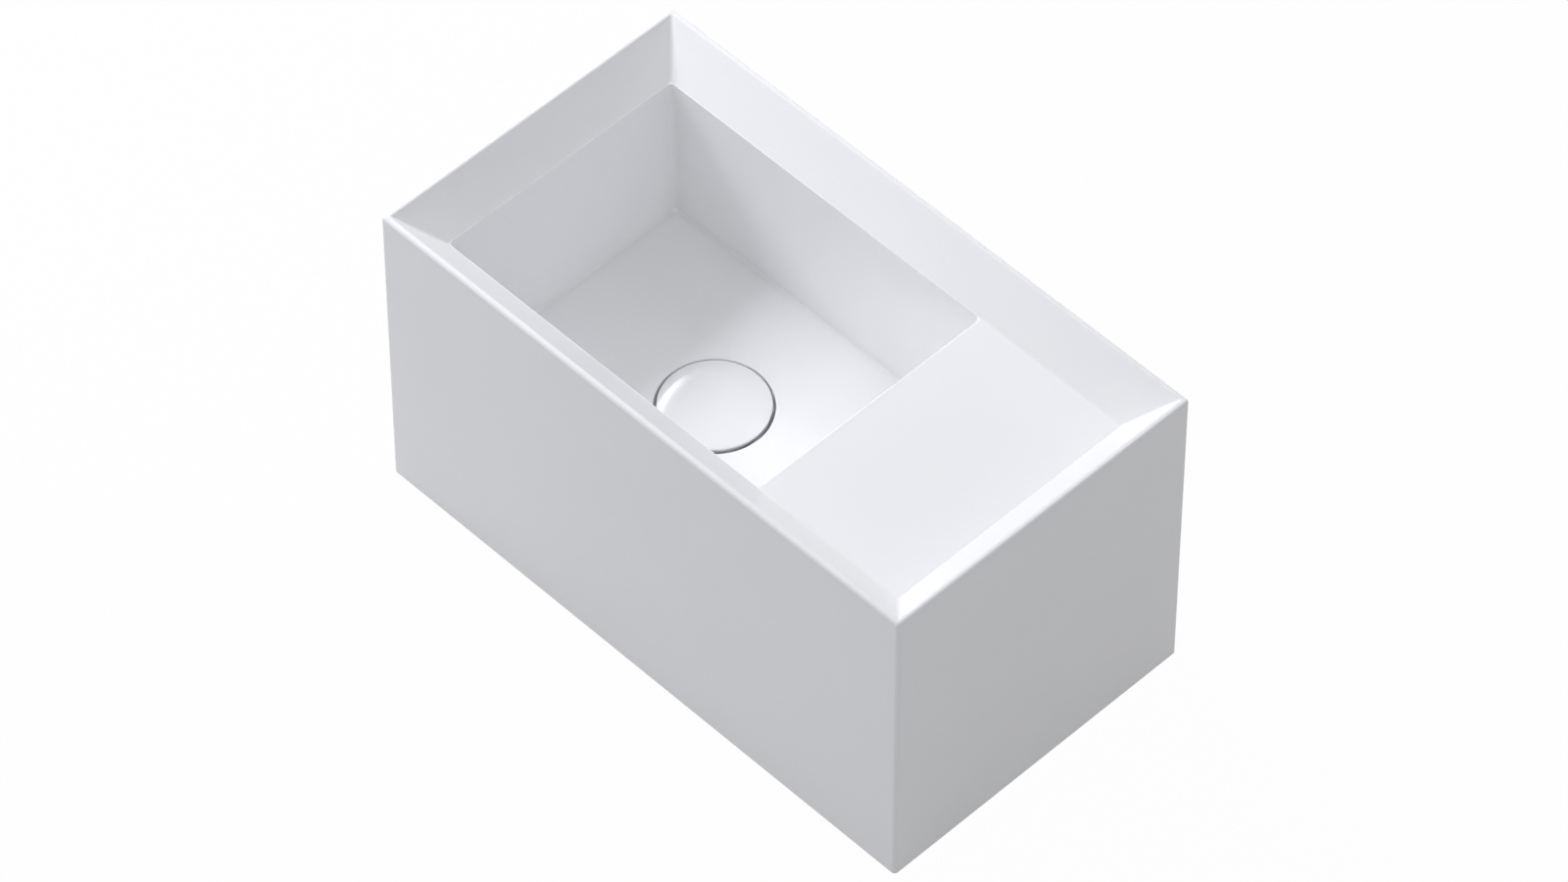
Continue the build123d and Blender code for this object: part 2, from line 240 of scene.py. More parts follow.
class CastingSettings(bpy.types.PropertyGroup):
    """Sizes and colours of the glazed casting."""

    upright_edge_radius: length("Upright edges", "Radius of the four outer corners", 2.5 * MM)
    rim_radius: length("Rim", "Radius of both edges of the rim", 2.2 * MM)
    band_corner_radius: length("Band corners", "Radius where two bands meet", 1.5 * MM)
    bowl_corner_radius: length("Bowl corners", "Radius of the bowl's upright corners", 3.0 * MM)
    ledge_edge_radius: length("Ledge edge", "Radius from the ledge into the bowl", 1.3 * MM)
    bowl_floor_radius: length("Bowl floor", "Radius between the bowl's walls and floor", 2.0 * MM)
    floor_fall: length("Floor fall", "How far the floor falls to the drain", 3.5 * MM)
    glaze: colour("Glaze", "Colour of the glaze", "F9F9FA")
    glaze_roughness: share("Glaze roughness", "Roughness of the glaze", 0.12)
    glaze_ripple: length("Glaze ripple", "Height of the ripples in the glaze", 0.012 * MM)
    biscuit: colour("Bare clay", "Colour of the unglazed clay", "E4DCCD")


class CapSettings(bpy.types.PropertyGroup):
    """Sizes and colours of the ceramic cap."""

    edge_radius: length("Edge", "Radius of the cap's edge", 0.6 * MM)
    undercut: length("Undercut", "How far the side draws in below the edge", 1.4 * MM)
    crown: length("Crown", "Rise from the edge to the middle", 1.42 * MM)
    crown_power: bpy.props.FloatProperty(
        name="Crown power",
        description="Power of the radius with which the crown falls to the edge",
        default=4.7,
        min=2.0,
        max=12.0,
        subtype="FACTOR",
    )
    glaze: colour("Glaze", "Colour of the cap's glaze", "F6F6F7")
    glaze_roughness: share("Glaze roughness", "Roughness of the cap's glaze", 0.12)
    glaze_ripple: length("Glaze ripple", "Height of the ripples in the glaze", 0.006 * MM)


class FittingSettings(bpy.types.PropertyGroup):
    """Sizes and colours of the waste's metal, rubber and plastic."""

    thread_pitch: length("Thread pitch", "Pitch of the G 1 1/4 thread", 2.309 * MM)
    thread_depth: length("Thread depth", "Depth of the G 1 1/4 thread", 1.479 * MM)
    spring_turns: bpy.props.IntProperty(
        name="Spring turns",
        description="Turns of the return spring",
        default=6,
        min=2,
        max=20,
        subtype="UNSIGNED",
    )
    spring_wire_radius: length("Spring wire", "Radius of the spring's wire", 0.5 * MM)
    chrome: colour("Chrome", "Colour of the chromed brass", "D6D8DB")
    brass: colour("Brass", "Colour of the plain brass", "C8A662")
    steel: colour("Spring steel", "Colour of the spring wire", "A7A9AB")
    rubber: colour("Rubber", "Colour of the seals", "232325")
    acetal: colour("Acetal", "Colour of the slip washer, rotor and plug", "8F9295")
    nylon: colour("Nylon", "Colour of the wall bushes", "E9E6DD")


class StageSettings(bpy.types.PropertyGroup):
    """The camera, the lamps and the floor."""

    azimuth: bpy.props.FloatProperty(
        name="Azimuth",
        description="Camera's way round, from the front",
        default=radians(45.50),
        subtype="ANGLE",
    )
    elevation: bpy.props.FloatProperty(
        name="Elevation",
        description="Camera's height above the horizon",
        default=radians(50.37),
        subtype="ANGLE",
    )
    distance: length("Distance", "Camera to the point that it looks at", 4.793)
    lens: bpy.props.FloatProperty(
        name="Lens", description="Focal length", default=199.6, min=1.0, unit="CAMERA"
    )
    floor: colour("Floor", "Colour of the floor", "D2D2D2")
    backdrop_share: share("White backdrop", "Share of plain white in the floor as it is seen", 0.98)
    ambient: share("Ambient", "Strength of the light from all round", 0.28)
    daylight: colour("Daylight", "Colour of the lamps", "FAFBFF")


# ---------------------------------------------------------------- surfaces


def box_radius(low, high):
    """Radius of a round piece from its box."""
    return (high.x - low.x) / 2


def smooth_step(values, low, high):
    """0 below low, 1 above high, and the cubic 3t^2 - 2t^3 between them."""
    t = np.clip((values - low) / (high - low), 0.0, 1.0)
    return t * t * (3 - 2 * t)


def rounded(corners, radii, steps=6, closed=False):
    """Outline through corners, with an arc in each that touches both of its sides.

    A corner of radius r and half angle h is cut back by r / tan(h) along both sides, and the
    arc's middle lies r / sin(h) along the bisector; points go round it at even angles.
    """
    p = np.asarray(corners, float)
    r = np.asarray(radii, float)[:, None]
    back, ahead = np.roll(p, 1, 0) - p, np.roll(p, -1, 0) - p
    back /= np.linalg.norm(back, axis=1, keepdims=True)
    ahead /= np.linalg.norm(ahead, axis=1, keepdims=True)
    half = np.arccos(np.clip((back * ahead).sum(1, keepdims=True), -1, 1)) / 2
    bisector = (back + ahead) / np.linalg.norm(back + ahead, axis=1, keepdims=True)
    middle = p + bisector * r / np.sin(half)
    start, end = p + back * r / np.tan(half) - middle, p + ahead * r / np.tan(half) - middle
    t = np.linspace(0, 1, steps + 1)[None, :, None]
    turn = (pi - 2 * half)[:, None]
    arcs = (
        middle[:, None]
        + (np.sin((1 - t) * turn) * start[:, None] + np.sin(t * turn) * end[:, None]) / np.sin(turn)
    )
    if closed:
        return arcs.reshape(-1, 2)
    return np.concatenate([p[:1], arcs[1:-1].reshape(-1, 2), p[-1:]])


def divided(outline, longest, closed=False):
    """The outline with each side cut into equal steps no longer than the longest allowed."""
    ends = np.roll(outline, -1, 0) if closed else outline[1:]
    starts = outline if closed else outline[:-1]
    steps = np.maximum(1, np.ceil(np.linalg.norm(ends - starts, axis=1) / longest).astype(int))
    which = np.repeat(np.arange(len(steps)), steps)
    first = np.repeat(np.cumsum(steps) - steps, steps)
    t = ((np.arange(len(which)) - first) / steps[which])[:, None]
    points = starts[which] + t * (ends - starts)[which]
    return points if closed else np.concatenate([points, outline[-1:]])


def turned(outline, centre_x, columns=96, change=None):
    """An outline of radii and heights carried round the upright line through (centre_x, 0).

    A point is (centre_x + r cos a, r sin a, z), with a in even steps; change(r, z, a) may
    return another radius.
    """
    angle = np.arange(columns) * tau / columns
    r, z = np.broadcast_arrays(outline[:, :1], outline[:, 1:])
    r = np.repeat(r, columns, 1)
    z = np.repeat(z, columns, 1)
    a = np.broadcast_to(angle, r.shape)
    if change is not None:
        r = change(r, z, a)
    return np.stack([centre_x + r * np.cos(a), r * np.sin(a), z], -1)


def shell(grid, ring=True):
    """Vertices and faces of a closed surface over a grid of points.

    Columns always join round. With ring, the last row joins the first; otherwise the first
    and last rows each lie in one point, which becomes a pole with a fan of triangles. The
    winding is turned round where the signed volume shows that faces point inwards.
    """
    rows, columns = grid.shape[:2]
    if ring:
        vertices = grid.reshape(-1, 3)
        row, first = np.arange(rows)[:, None], 0
    else:
        vertices = np.concatenate([grid[0, :1], grid[1:-1].reshape(-1, 3), grid[-1, :1]])
        rows -= 2
        row, first = np.arange(rows - 1)[:, None], 1
    column = np.arange(columns)[None, :]
    after, below = (column + 1) % columns, (row + 1) % rows
    quads = first + np.stack(
        np.broadcast_arrays(
            row * columns + column,
            row * columns + after,
            below * columns + after,
            below * columns + column,
        ),
        -1,
    ).reshape(-1, 4)
    fans = np.empty((0, 3), int)
    if not ring:
        here, there = 1 + column[0], 1 + after[0]
        last = len(vertices) - 1
        end = last - columns + column[0], last - columns + after[0]
        fans = np.concatenate(
            [
                np.column_stack([np.zeros_like(here), there, here]),
                np.column_stack([np.full_like(here, last), end[0], end[1]]),
            ]
        )
    triangles = np.concatenate([quads[:, :3], quads[:, [0, 2, 3]], fans])
    a, b, c = (vertices[triangles[:, corner]] for corner in range(3))
    if np.einsum("ij,ij->", a, np.cross(b, c)) < 0:
        quads, fans = quads[:, ::-1], fans[:, ::-1]
    return vertices, quads.tolist() + fans.tolist()


def closed_rows(rows):
    """The shell over rows of points, each end closed by a pole in its middle."""
    ends = [np.broadcast_to(rows[end].mean(0), rows[end].shape)[None] for end in (0, -1)]
    return shell(np.concatenate([ends[0], rows, ends[1]]), ring=False)


def add_piece(name, parts, materials, sharp_angle=30.0):
    """A mesh object from one or more shells, shaded smooth apart from its sharp edges."""
    vertices, faces, count = [], [], 0
    for points, polygons in parts:
        vertices.append(points)
        faces += [[index + count for index in polygon] for polygon in polygons]
        count += len(points)
    mesh = bpy.data.meshes.new(name)
    mesh.from_pydata(np.concatenate(vertices).tolist(), [], faces)
    for material in materials:
        mesh.materials.append(material)
    mesh.polygons.foreach_set("use_smooth", np.ones(len(mesh.polygons), bool))
    mesh.set_sharp_from_angle(angle=radians(sharp_angle))
    mesh.update()
    piece = bpy.data.objects.new(name, mesh)
    bpy.context.scene.collection.objects.link(piece)
    return piece


def weigh(piece):
    """Lets the large faces of a piece lead the shading at its rounded edges."""
    weighted = piece.modifiers.new("weighted normals", "WEIGHTED_NORMAL")
    weighted.keep_sharp = True
    weighted.weight = 80


def finish_mesh(piece, sharp_angle=30.0):
    """Puts what the piece's modifiers make into its mesh."""
    graph = bpy.context.evaluated_depsgraph_get()
    mesh = bpy.data.meshes.new_from_object(piece.evaluated_get(graph))
    piece.modifiers.clear()
    mesh.name = piece.name
    mesh.polygons.foreach_set("use_smooth", np.ones(len(mesh.polygons), bool))
    mesh.set_sharp_from_angle(angle=radians(sharp_angle))
    piece.data = mesh


def stand_for(piece, body, slot, *nodes):
    """Lets a finished piece ride on a body in place of CAD nodes."""
    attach(piece, body)
    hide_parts(*nodes)


# ---------------------------------------------------------------- casting

# Steps along the parts of a ring that runs round the casting
CORNER_STEPS = 8
FRONT_STEPS = 40
SPAN_STEPS = 8
LEDGE_STEPS = 10
RIGHT_STEPS = 26
LEFT_STEPS = 30
LEDGE_SPAN = 10.0 * MM  # strip of the long sides that faces the bowl's right corners

# Rings of the boss and of the skirt that glaze covers
GLAZED_HOLE_ROWS = 3
GLAZED_FACE_ROWS = 7


def even(count):
    """Even shares from 0, without 1."""
    return np.arange(count) / count


def by_angle(half_side, distance, count):
    """Shares along a side at even angles, as seen from a point opposite its middle."""
    half = atan(half_side / distance)
    return (np.tan((2 * even(count) - 1) * half) / tan(half) + 1) / 2


def straight(start, end, shares):
    """Ring coefficients that go evenly from start to end."""
    start, end = np.asarray(start, float), np.asarray(end, float)
    return start + shares[:, None] * (end - start)


def corner(side_x, side_y, start_angle, steps):
    """Ring coefficients of a quarter turn round the corner on the given sides."""
    angle = radians(start_angle) + even(steps) * pi / 2
    ones = np.ones(steps)
    return np.column_stack([side_x * ones, np.cos(angle), 0 * ones, side_y * ones, np.sin(angle)])


def ring_layouts():
    """Coefficients of the rings round the whole casting and of those round the bowl.

    A ring is a rounded rectangle: x = centre + ax (half_x - r) + bx r + cx and
    y = ay (half_y - r) + by r. Both layouts have the same count of points. The right wall of
    a bowl's ring answers to the right wall of an outer one and to the two strips of its long
    sides beside the ledge, so that lines between the rings never cross.
    """
    along = by_angle(BOWL_HALF_LENGTH, BOWL_HALF_WIDTH, FRONT_STEPS)
    across = by_angle(BOWL_HALF_WIDTH, BOWL_HALF_LENGTH, LEFT_STEPS)
    wall_end = BOWL_RIGHT - 3.0 * MM
    span_end = wall_end + LEDGE_SPAN
    outer = np.concatenate(
        [
            straight((-1, 0, 0, -1, -1), (0, 0, wall_end, -1, -1), along),
            straight((0, 0, wall_end, -1, -1), (0, 0, span_end, -1, -1), even(SPAN_STEPS)),
            straight((0, 0, span_end, -1, -1), (1, 0, 0, -1, -1), even(LEDGE_STEPS)),
            corner(1, -1, -90, CORNER_STEPS),
            straight((1, 1, 0, -1, 0), (1, 1, 0, 1, 0), even(RIGHT_STEPS)),
            corner(1, 1, 0, CORNER_STEPS),
            straight((1, 0, 0, 1, 1), (0, 0, span_end, 1, 1), even(LEDGE_STEPS)),
            straight((0, 0, span_end, 1, 1), (0, 0, wall_end, 1, 1), even(SPAN_STEPS)),
            straight((0, 0, wall_end, 1, 1), (-1, 0, 0, 1, 1), along),
            corner(-1, 1, 90, CORNER_STEPS),
            straight((-1, -1, 0, 1, 0), (-1, -1, 0, -1, 0), across),
            corner(-1, -1, 180, CORNER_STEPS),
        ]
    )
    # Shares of the right wall's half width between which its steps are close or wide
    near, far = 0.62, 0.74
    bowl = np.concatenate(
        [
            straight((-1, 0, 0, -1, -1), (1, 0, 0, -1, -1), along),
            corner(1, -1, -90, SPAN_STEPS),
            straight((1, 1, 0, -1, 0), (1, 1, 0, -far, 0), even(LEDGE_STEPS)),
            straight((1, 1, 0, -far, 0), (1, 1, 0, -near, 0), even(CORNER_STEPS)),
            straight((1, 1, 0, -near, 0), (1, 1, 0, near, 0), even(RIGHT_STEPS)),
            straight((1, 1, 0, near, 0), (1, 1, 0, far, 0), even(CORNER_STEPS)),
            straight((1, 1, 0, far, 0), (1, 1, 0, 1, 0), even(LEDGE_STEPS)),
            corner(1, 1, 0, SPAN_STEPS),
            straight((1, 0, 0, 1, 1), (-1, 0, 0, 1, 1), along),
            corner(-1, 1, 90, CORNER_STEPS),
            straight((-1, -1, 0, 1, 0), (-1, -1, 0, -1, 0), across),
            corner(-1, -1, 180, CORNER_STEPS),
        ]
    )
    return outer, bowl


def rings(layout, centre_x, half_x, half_y, radius, z):
    """Rows of points on rounded rectangles, one for each value of the column arrays."""
    half_x, half_y, radius, z = (
        np.asarray(value, float).reshape(-1, 1) if np.ndim(value) < 2 else value
        for value in (half_x, half_y, radius, z)
    )
    ax, bx, cx, ay, by = layout.T
    x = centre_x + ax * (half_x - radius) + bx * radius + cx
    y = ay * (half_y - radius) + by * radius
    return np.stack(np.broadcast_arrays(x, y, z), -1)


class CastingRings:
    """Rings round the casting, from which its whole surface is drawn.

    Each method from boss to recess gives the rings of one part, in the order in which the
    surface passes them: down the drain hole, out under the bowl, up the faces, over the rim
    and back in. A section is a row of points, each an inset (or a radius) and a height.
    """

    def __init__(self, settings):
        self.settings = settings
        self.outer, self.bowl = ring_layouts()
        # The floor's dish starts as a rounded rectangle and ends as a circle. The rings
        # round the drain keep the bearings of the rectangle's points.
        half_x = BOWL_HALF_LENGTH - END_TAPER - FLOOR_MARGIN
        half_y = BOWL_HALF_WIDTH - SIDE_TAPER - FLOOR_MARGIN
        self.dish_top = rings(self.bowl, BOWL_X, half_x, half_y, RECESS_RADIUS, FLOOR_Z)[0]
        self.bearing = np.arctan2(self.dish_top[:, 1], self.dish_top[:, 0] - BOWL_X)
        self.dish_end = (RECESS_RADIUS + 2 * RECESS_EDGE, FLOOR_Z - settings.floor_fall)

    def round_casting(self, section, radius):
        """Rings inset from the outer faces."""
        inset, z = section.T
        return rings(self.outer, 0.0, HALF_LENGTH - inset, HALF_WIDTH - inset, radius, z)

    def round_bowl(self, section, radius, half_x=BOWL_HALF_LENGTH, half_y=BOWL_HALF_WIDTH):
        """Rings inset from the bowl's mouth, or from another rectangle about its middle."""
        inset, z = section.T
        return rings(self.bowl, BOWL_X, half_x - inset, half_y - inset, radius, z)

    def round_drain(self, section):
        """Circles about the drain."""
        radius, z = section[:, :1], section[:, 1:]
        x, y = BOWL_X + radius * np.cos(self.bearing), radius * np.sin(self.bearing)
        return np.stack(np.broadcast_arrays(x, y, z), -1)

    def boss(self):
        """The drain hole, and the boss under it."""
        section = rounded(
            [
                (DRAIN_HOLE_RADIUS, SEAM_Z),
                (DRAIN_HOLE_RADIUS, BOSS_Z),
                (DRAIN_BOSS_RADIUS, BOSS_Z),
                (DRAIN_BOSS_RADIUS, UNDERSIDE_Z),
                (DRAIN_BOSS_RADIUS + 6 * MM, UNDERSIDE_Z),
            ],
            [0, 0.4 * MM, 1 * MM, HOLLOW_FILLET, 0],
        )
        return self.round_drain(section)

    def bowl_outside(self):
        """The bowl's outer side, up to the hollow's top."""
        section = rounded(
            [
                (3 * MM, UNDERSIDE_Z),
                (0, UNDERSIDE_Z),
                (0, HOLLOW_TOP_Z),
                (-HOLLOW_STEP, HOLLOW_TOP_Z),
            ],
            [0, HOLLOW_FILLET, HOLLOW_FILLET, 0],
        )
        half_x, half_y = BOWL_HALF_LENGTH + BOWL_WALL, BOWL_HALF_WIDTH + BOWL_WALL
        return self.round_bowl(section, HOLLOW_CORNER_RADIUS, half_x, half_y)

    def skirt(self):
        """The skirt's inside, its foot and the lower half of the faces."""
        section = rounded(
            [
                (SKIRT_THICKNESS + HOLLOW_STEP, HOLLOW_TOP_Z),
                (SKIRT_THICKNESS, HOLLOW_TOP_Z),
                (SKIRT_THICKNESS, 0),
                (0, 0),
                (0, TOP_Z / 2),
            ],
            [0, HOLLOW_FILLET, FOOT_EDGE, FOOT_EDGE, 0],
        )
        upright = self.settings.upright_edge_radius
        radius = np.interp(
            section[:, 0],
            [0, FOOT_EDGE, SKIRT_THICKNESS - FOOT_EDGE, SKIRT_THICKNESS + HOLLOW_STEP],
            [upright, upright - FOOT_EDGE, HOLLOW_CORNER_RADIUS, HOLLOW_CORNER_RADIUS - 2 * MM],
        )
        return self.round_casting(section, radius)

    def rim(self):
        """The upper half of the faces, the rim, and the band down to near its foot."""
        edge, upright = self.settings.rim_radius, self.settings.upright_edge_radius
        section = rounded(
            [
                (0, TOP_Z / 2),
                (0, TOP_Z),
                (RIM_FLAT, TOP_Z),
                (BAND_WIDTH - BAND_STOP, LEDGE_Z + BAND_STOP),
            ],
            [0, edge, edge, 0],
            steps=10,
        )
        section = divided(section, 14 * MM)[1:]
        band = self.settings.band_corner_radius
        radius = np.interp(
            section[:, 0],
            [0, edge, RIM_FLAT + 1 * MM, BAND_WIDTH],
            [upright, upright - edge, band, band],
        )
        return self.round_casting(section, radius)

    def foot_of_band(self):
        """A fillet: small above the bowl's walls, wide beside the ledge, widest in front."""
        band = self.settings.band_corner_radius
        foot = rings(self.outer, 0.0, FOOT_HALF_LENGTH, FOOT_HALF_WIDTH, band, LEDGE_Z)[0]
        beside_ledge = smooth_step(foot[:, 0], BOWL_RIGHT + 1 * MM, BOWL_RIGHT + 12 * MM)
        long_side = smooth_step(FOOT_HALF_LENGTH - foot[:, 0], 1 * MM, 9 * MM)
        widest = np.where(foot[:, 1] < 0, FILLET_IN_FRONT, FILLET_BEHIND)
        fillet = FILLET_AT_RIGHT + (widest - FILLET_AT_RIGHT) * long_side
        fillet = FILLET_AT_BOWL + beside_ledge * (fillet - FILLET_AT_BOWL)
        turn = np.linspace(pi / 4, 0, 6)[:, None]
        inset = BAND_WIDTH + fillet * tan(pi / 8) - fillet * np.sin(turn)
        z = LEDGE_Z + fillet * (1 - np.cos(turn))
        half_x, half_y = HALF_LENGTH - inset, HALF_WIDTH - inset
        return rings(self.outer, 0.0, half_x, half_y, band + 0 * inset, z)

    def lip(self):
        """The rounded edge from the level strip and the ledge into the bowl."""
        corners = self.settings.bowl_corner_radius
        mouth = rings(self.bowl, BOWL_X, BOWL_HALF_LENGTH, BOWL_HALF_WIDTH, corners, LEDGE_Z)[0]
        ledge_side = smooth_step(mouth[:, 0], BOWL_RIGHT - 6 * MM, BOWL_RIGHT - 0.5 * MM)
        radius = LIP_RADIUS + (self.settings.ledge_edge_radius - LIP_RADIUS) * ledge_side
        turn = np.linspace(0, pi / 2, 7)[:, None]
        out = radius * (1 - np.sin(turn))
        half_x, half_y = BOWL_HALF_LENGTH + out, BOWL_HALF_WIDTH + out
        z = LEDGE_Z - radius * (1 - np.cos(turn))
        return rings(self.bowl, BOWL_X, half_x, half_y, corners + out, z)

    def bowl_walls(self):
        """The bowl's walls and the start of its floor, with close rows near the floor, where
        painted shade darkens the corners.
        """
        near = np.array([[8.0], [5.0], [3.5]]) * MM
        start = np.array([0.02 * MM, LEDGE_Z - 1.5 * MM])  # just under the lip
        foot = np.array([END_TAPER, FLOOR_Z])
        end = foot + (FLOOR_MARGIN, 0)
        up = (start - foot) / np.linalg.norm(start - foot)
        fillet = rounded([start, foot, end], [0, self.settings.bowl_floor_radius, 0], steps=12)
        section = np.concatenate(
            [[start], foot + near * up, fillet[1:-1], foot + near[::-1] * (1, 0), [end]]
        )
        section = divided(section, 12 * MM)
        past = np.maximum(section[:, 0] - END_TAPER, 0)
        # The section is drawn for the end walls, and the long walls lean less
        steeper = (END_TAPER - SIDE_TAPER) * (LEDGE_Z - section[:, 1]) / BOWL_DEPTH
        # Over the floor the corners open out towards the drain's circle
        radius = self.settings.bowl_corner_radius + 0.35 * past
        return self.round_bowl(section, radius, half_y=BOWL_HALF_WIDTH + steeper)[:-1]

    def dish(self):
        """The floor's fall: straight on the plan from the rectangle to the circle.

        The fall starts gently: it goes with the square of the way for the first three
        tenths, and straight after that.
        """
        down = np.linspace(0, 1, 17)[:, None, None]
        last = self.round_drain(np.array([self.dish_end]))[0]
        rows = self.dish_top + down * (last - self.dish_top)
        gentle = 0.3
        fall = np.where(down < gentle, down**2 / (2 * gentle), down - gentle / 2)
        fall /= 1 - gentle / 2
        rows[..., 2] = FLOOR_Z - self.settings.floor_fall * fall[..., 0]
        return rows

    def recess(self):
        """The round recess that the cap sits in."""
        section = rounded(
            [
                self.dish_end,
                (RECESS_RADIUS, self.dish_end[1]),
                (RECESS_RADIUS, RECESS_Z),
                (DRAIN_HOLE_RADIUS, RECESS_Z),
                (DRAIN_HOLE_RADIUS, SEAM_Z),
            ],
            [0, RECESS_EDGE, 0.6 * MM, 0.4 * MM, 0],
            steps=8,
        )
        return self.round_drain(section[1:-1])

    def grid(self):
        """All the rings in a row, and the first and last of those that bound bare clay."""
        underside = [self.boss(), self.bowl_outside(), self.skirt()]
        foot, lip = self.foot_of_band(), self.lip()
        # Level rows from the band's foot to the lip
        ledge = foot[-1] + np.linspace(0, 1, 9)[1:-1, None, None] * (lip[0] - foot[-1])
        inside = [foot, ledge, lip, self.bowl_walls(), self.dish(), self.recess()]
        # Glaze covers the drain hole's top, and the faces from their lower edge up
        bare = GLAZED_HOLE_ROWS, sum(len(rows) for rows in underside) - GLAZED_FACE_ROWS
        return np.concatenate([*underside, self.rim(), *inside]), bare


def pool_glaze(mesh):
    """Gives the mesh an attribute of painted shade: how much darker the bowl's inner corners are
    drawn, as if they lay in shade.

    It is e^-(d / 3 mm)^2, where d is the sum of the two smallest of a point's distances to
    the bowl's end walls, its side walls and its floor.
    """
    places = np.empty(len(mesh.vertices) * 3)
    mesh.vertices.foreach_get("co", places)
    x, y, z = places.reshape(-1, 3).T
    down = LEDGE_Z - z
    gaps = np.stack(
        [
            BOWL_HALF_LENGTH - down * tan(BOWL_END_DRAFT) - np.abs(x - BOWL_X),
            BOWL_HALF_WIDTH - down * tan(BOWL_SIDE_DRAFT) - np.abs(y),
            z - FLOOR_Z,
        ]
    )
    inside = (gaps > -0.5 * MM).all(axis=0) & (down > 3 * MM)
    reach = np.sort(np.abs(gaps), axis=0)[:2].sum(axis=0)
    pooled = mesh.attributes.new("pooled", "FLOAT", "POINT")
    pooled.data.foreach_set("value", np.where(inside, np.exp(-((reach / (3 * MM)) ** 2)), 0.0))


def fixing_rounds(section, ring=False):
    """Shells turned about the two studs' axes, from an outline of radii and depths along Y."""
    parts = []
    for side in (-1, 1):
        lying = turned(section, 0.0, 64)[..., [0, 2, 1]]
        lying[..., 0] += side * FIXING_SPACING / 2
        lying[..., 2] += FIXING_Z
        parts.append(shell(lying, ring))
    return parts


def pad_section():
    """Outline of the round pad inside the wall, under a bush's collar."""
    return rounded(
        [
            (0, PAD_Y),
            (FIXING_PAD_RADIUS, PAD_Y),
            (FIXING_PAD_RADIUS, WALL_INSIDE_Y + OVERRUN),
            (0, WALL_INSIDE_Y + OVERRUN),
        ],
        [0, 1 * MM, 0.5 * MM, 0],
    )


def hole_section():
    """Outline of what a stud's hole takes away, with a flare at both of its mouths."""
    wide = FIXING_HOLE_RADIUS + 3 * MM
    inner, outer = PAD_Y - HAIR, HALF_WIDTH + HAIR
    return rounded(
        [
            (0, PAD_Y - OVERRUN),
            (wide, PAD_Y - OVERRUN),
            (wide, inner),
            (FIXING_HOLE_RADIUS, inner),
            (FIXING_HOLE_RADIUS, outer),
            (wide, outer),
            (wide, HALF_WIDTH + OVERRUN),
            (0, HALF_WIDTH + OVERRUN),
        ],
        [0] + [HOLE_FLARE] * 6 + [0],
    )


def notch_cutter():
    """A block that cuts the pipe notch, flared where it meets both faces of the wall.

    Each row is a rounded rectangle in X and Z at one depth; the flare is
    f - sqrt(f^2 - d^2) for a row d inside the flare's reach f.
    """
    turn = np.linspace(0, pi / 2, 7)
    growth = NOTCH_FLARE * (1 - np.sin(turn))
    travel = NOTCH_FLARE * (1 - np.cos(turn))
    inner, outer = WALL_INSIDE_Y + travel, (HALF_WIDTH - travel)[::-1]
    past = 3 * MM
    depth = np.concatenate([[WALL_INSIDE_Y - past], inner, outer, [HALF_WIDTH + past]])
    grow = np.concatenate([[NOTCH_FLARE], growth, growth[::-1], [NOTCH_FLARE]])[:, None]
    quarter = np.linspace(0, pi / 2, 9)
    angle = np.concatenate([radians(start) + quarter for start in (-90, 0, 90, 180)])
    side_x = np.repeat([1, 1, -1, -1], len(quarter))
    side_z = np.repeat([-1, 1, 1, -1], len(quarter))
    low = -20 * MM  # well below the casting's foot
    half_x, half_z = NOTCH_WIDTH / 2, (NOTCH_HEIGHT - low) / 2
    radius = NOTCH_CORNER_RADIUS + grow
    x = DRAIN_X + side_x * (half_x - NOTCH_CORNER_RADIUS) + radius * np.cos(angle)
    z = low + half_z + side_z * (half_z - NOTCH_CORNER_RADIUS) + radius * np.sin(angle)
    y = np.broadcast_to(depth[:, None], x.shape)
    return closed_rows(np.stack([x, y, z], -1))


class BASIN_OT_casting(bpy.types.Operator):
    """Builds the glazed fireclay casting with its rim, band, ledge, bowl and hollow underside"""

    bl_idname = "basin.casting"
    bl_label = "Casting"

    def execute(self, context):
        settings = context.scene.basin_casting
        glazed = glazed_fireclay(
            "glazed_fireclay", settings.glaze, settings.glaze_roughness, settings.glaze_ripple
        )
        materials = [glazed, bare_fireclay(settings.biscuit)]
        grid, (bare_from, bare_to) = CastingRings(settings).grid()
        piece = add_piece("casting", [shell(grid)], materials)
        mesh = piece.data
        centres = np.empty(len(mesh.polygons) * 3)
        mesh.polygons.foreach_get("center", centres)
        row = np.arange(len(mesh.polygons)) // grid.shape[1]
        # Bare clay: the underside, and the face that lies against the wall
        bare = (row >= bare_from) & (row < bare_to)
        bare |= centres.reshape(-1, 3)[:, 1] > HALF_WIDTH - HAIR
        mesh.polygons.foreach_set("material_index", bare.astype(np.int32))

        cuts = (
            ("UNION", "fixing_pads", fixing_rounds(pad_section())),
            ("DIFFERENCE", "fixing_holes", fixing_rounds(hole_section())),
            ("DIFFERENCE", "pipe_notch", [notch_cutter()]),
        )
        for operation, name, parts in cuts:
            cutter = add_piece(name, parts, materials)
            clay = np.ones(len(cutter.data.polygons), np.int32)
            cutter.data.polygons.foreach_set("material_index", clay)
            cut = piece.modifiers.new(name, "BOOLEAN")
            cut.operation, cut.object, cut.solver = operation, cutter, "EXACT"
        finish_mesh(piece)
        weigh(piece)
        # Painted shade in the bowl's inner corners
        pool_glaze(piece.data)
        for _, name, _ in cuts:
            bpy.data.objects.remove(bpy.data.objects[name])
        stand_for(piece, "basin", "glazed_fireclay", "basin_body")
        return {"FINISHED"}


# ---------------------------------------------------------------- cap


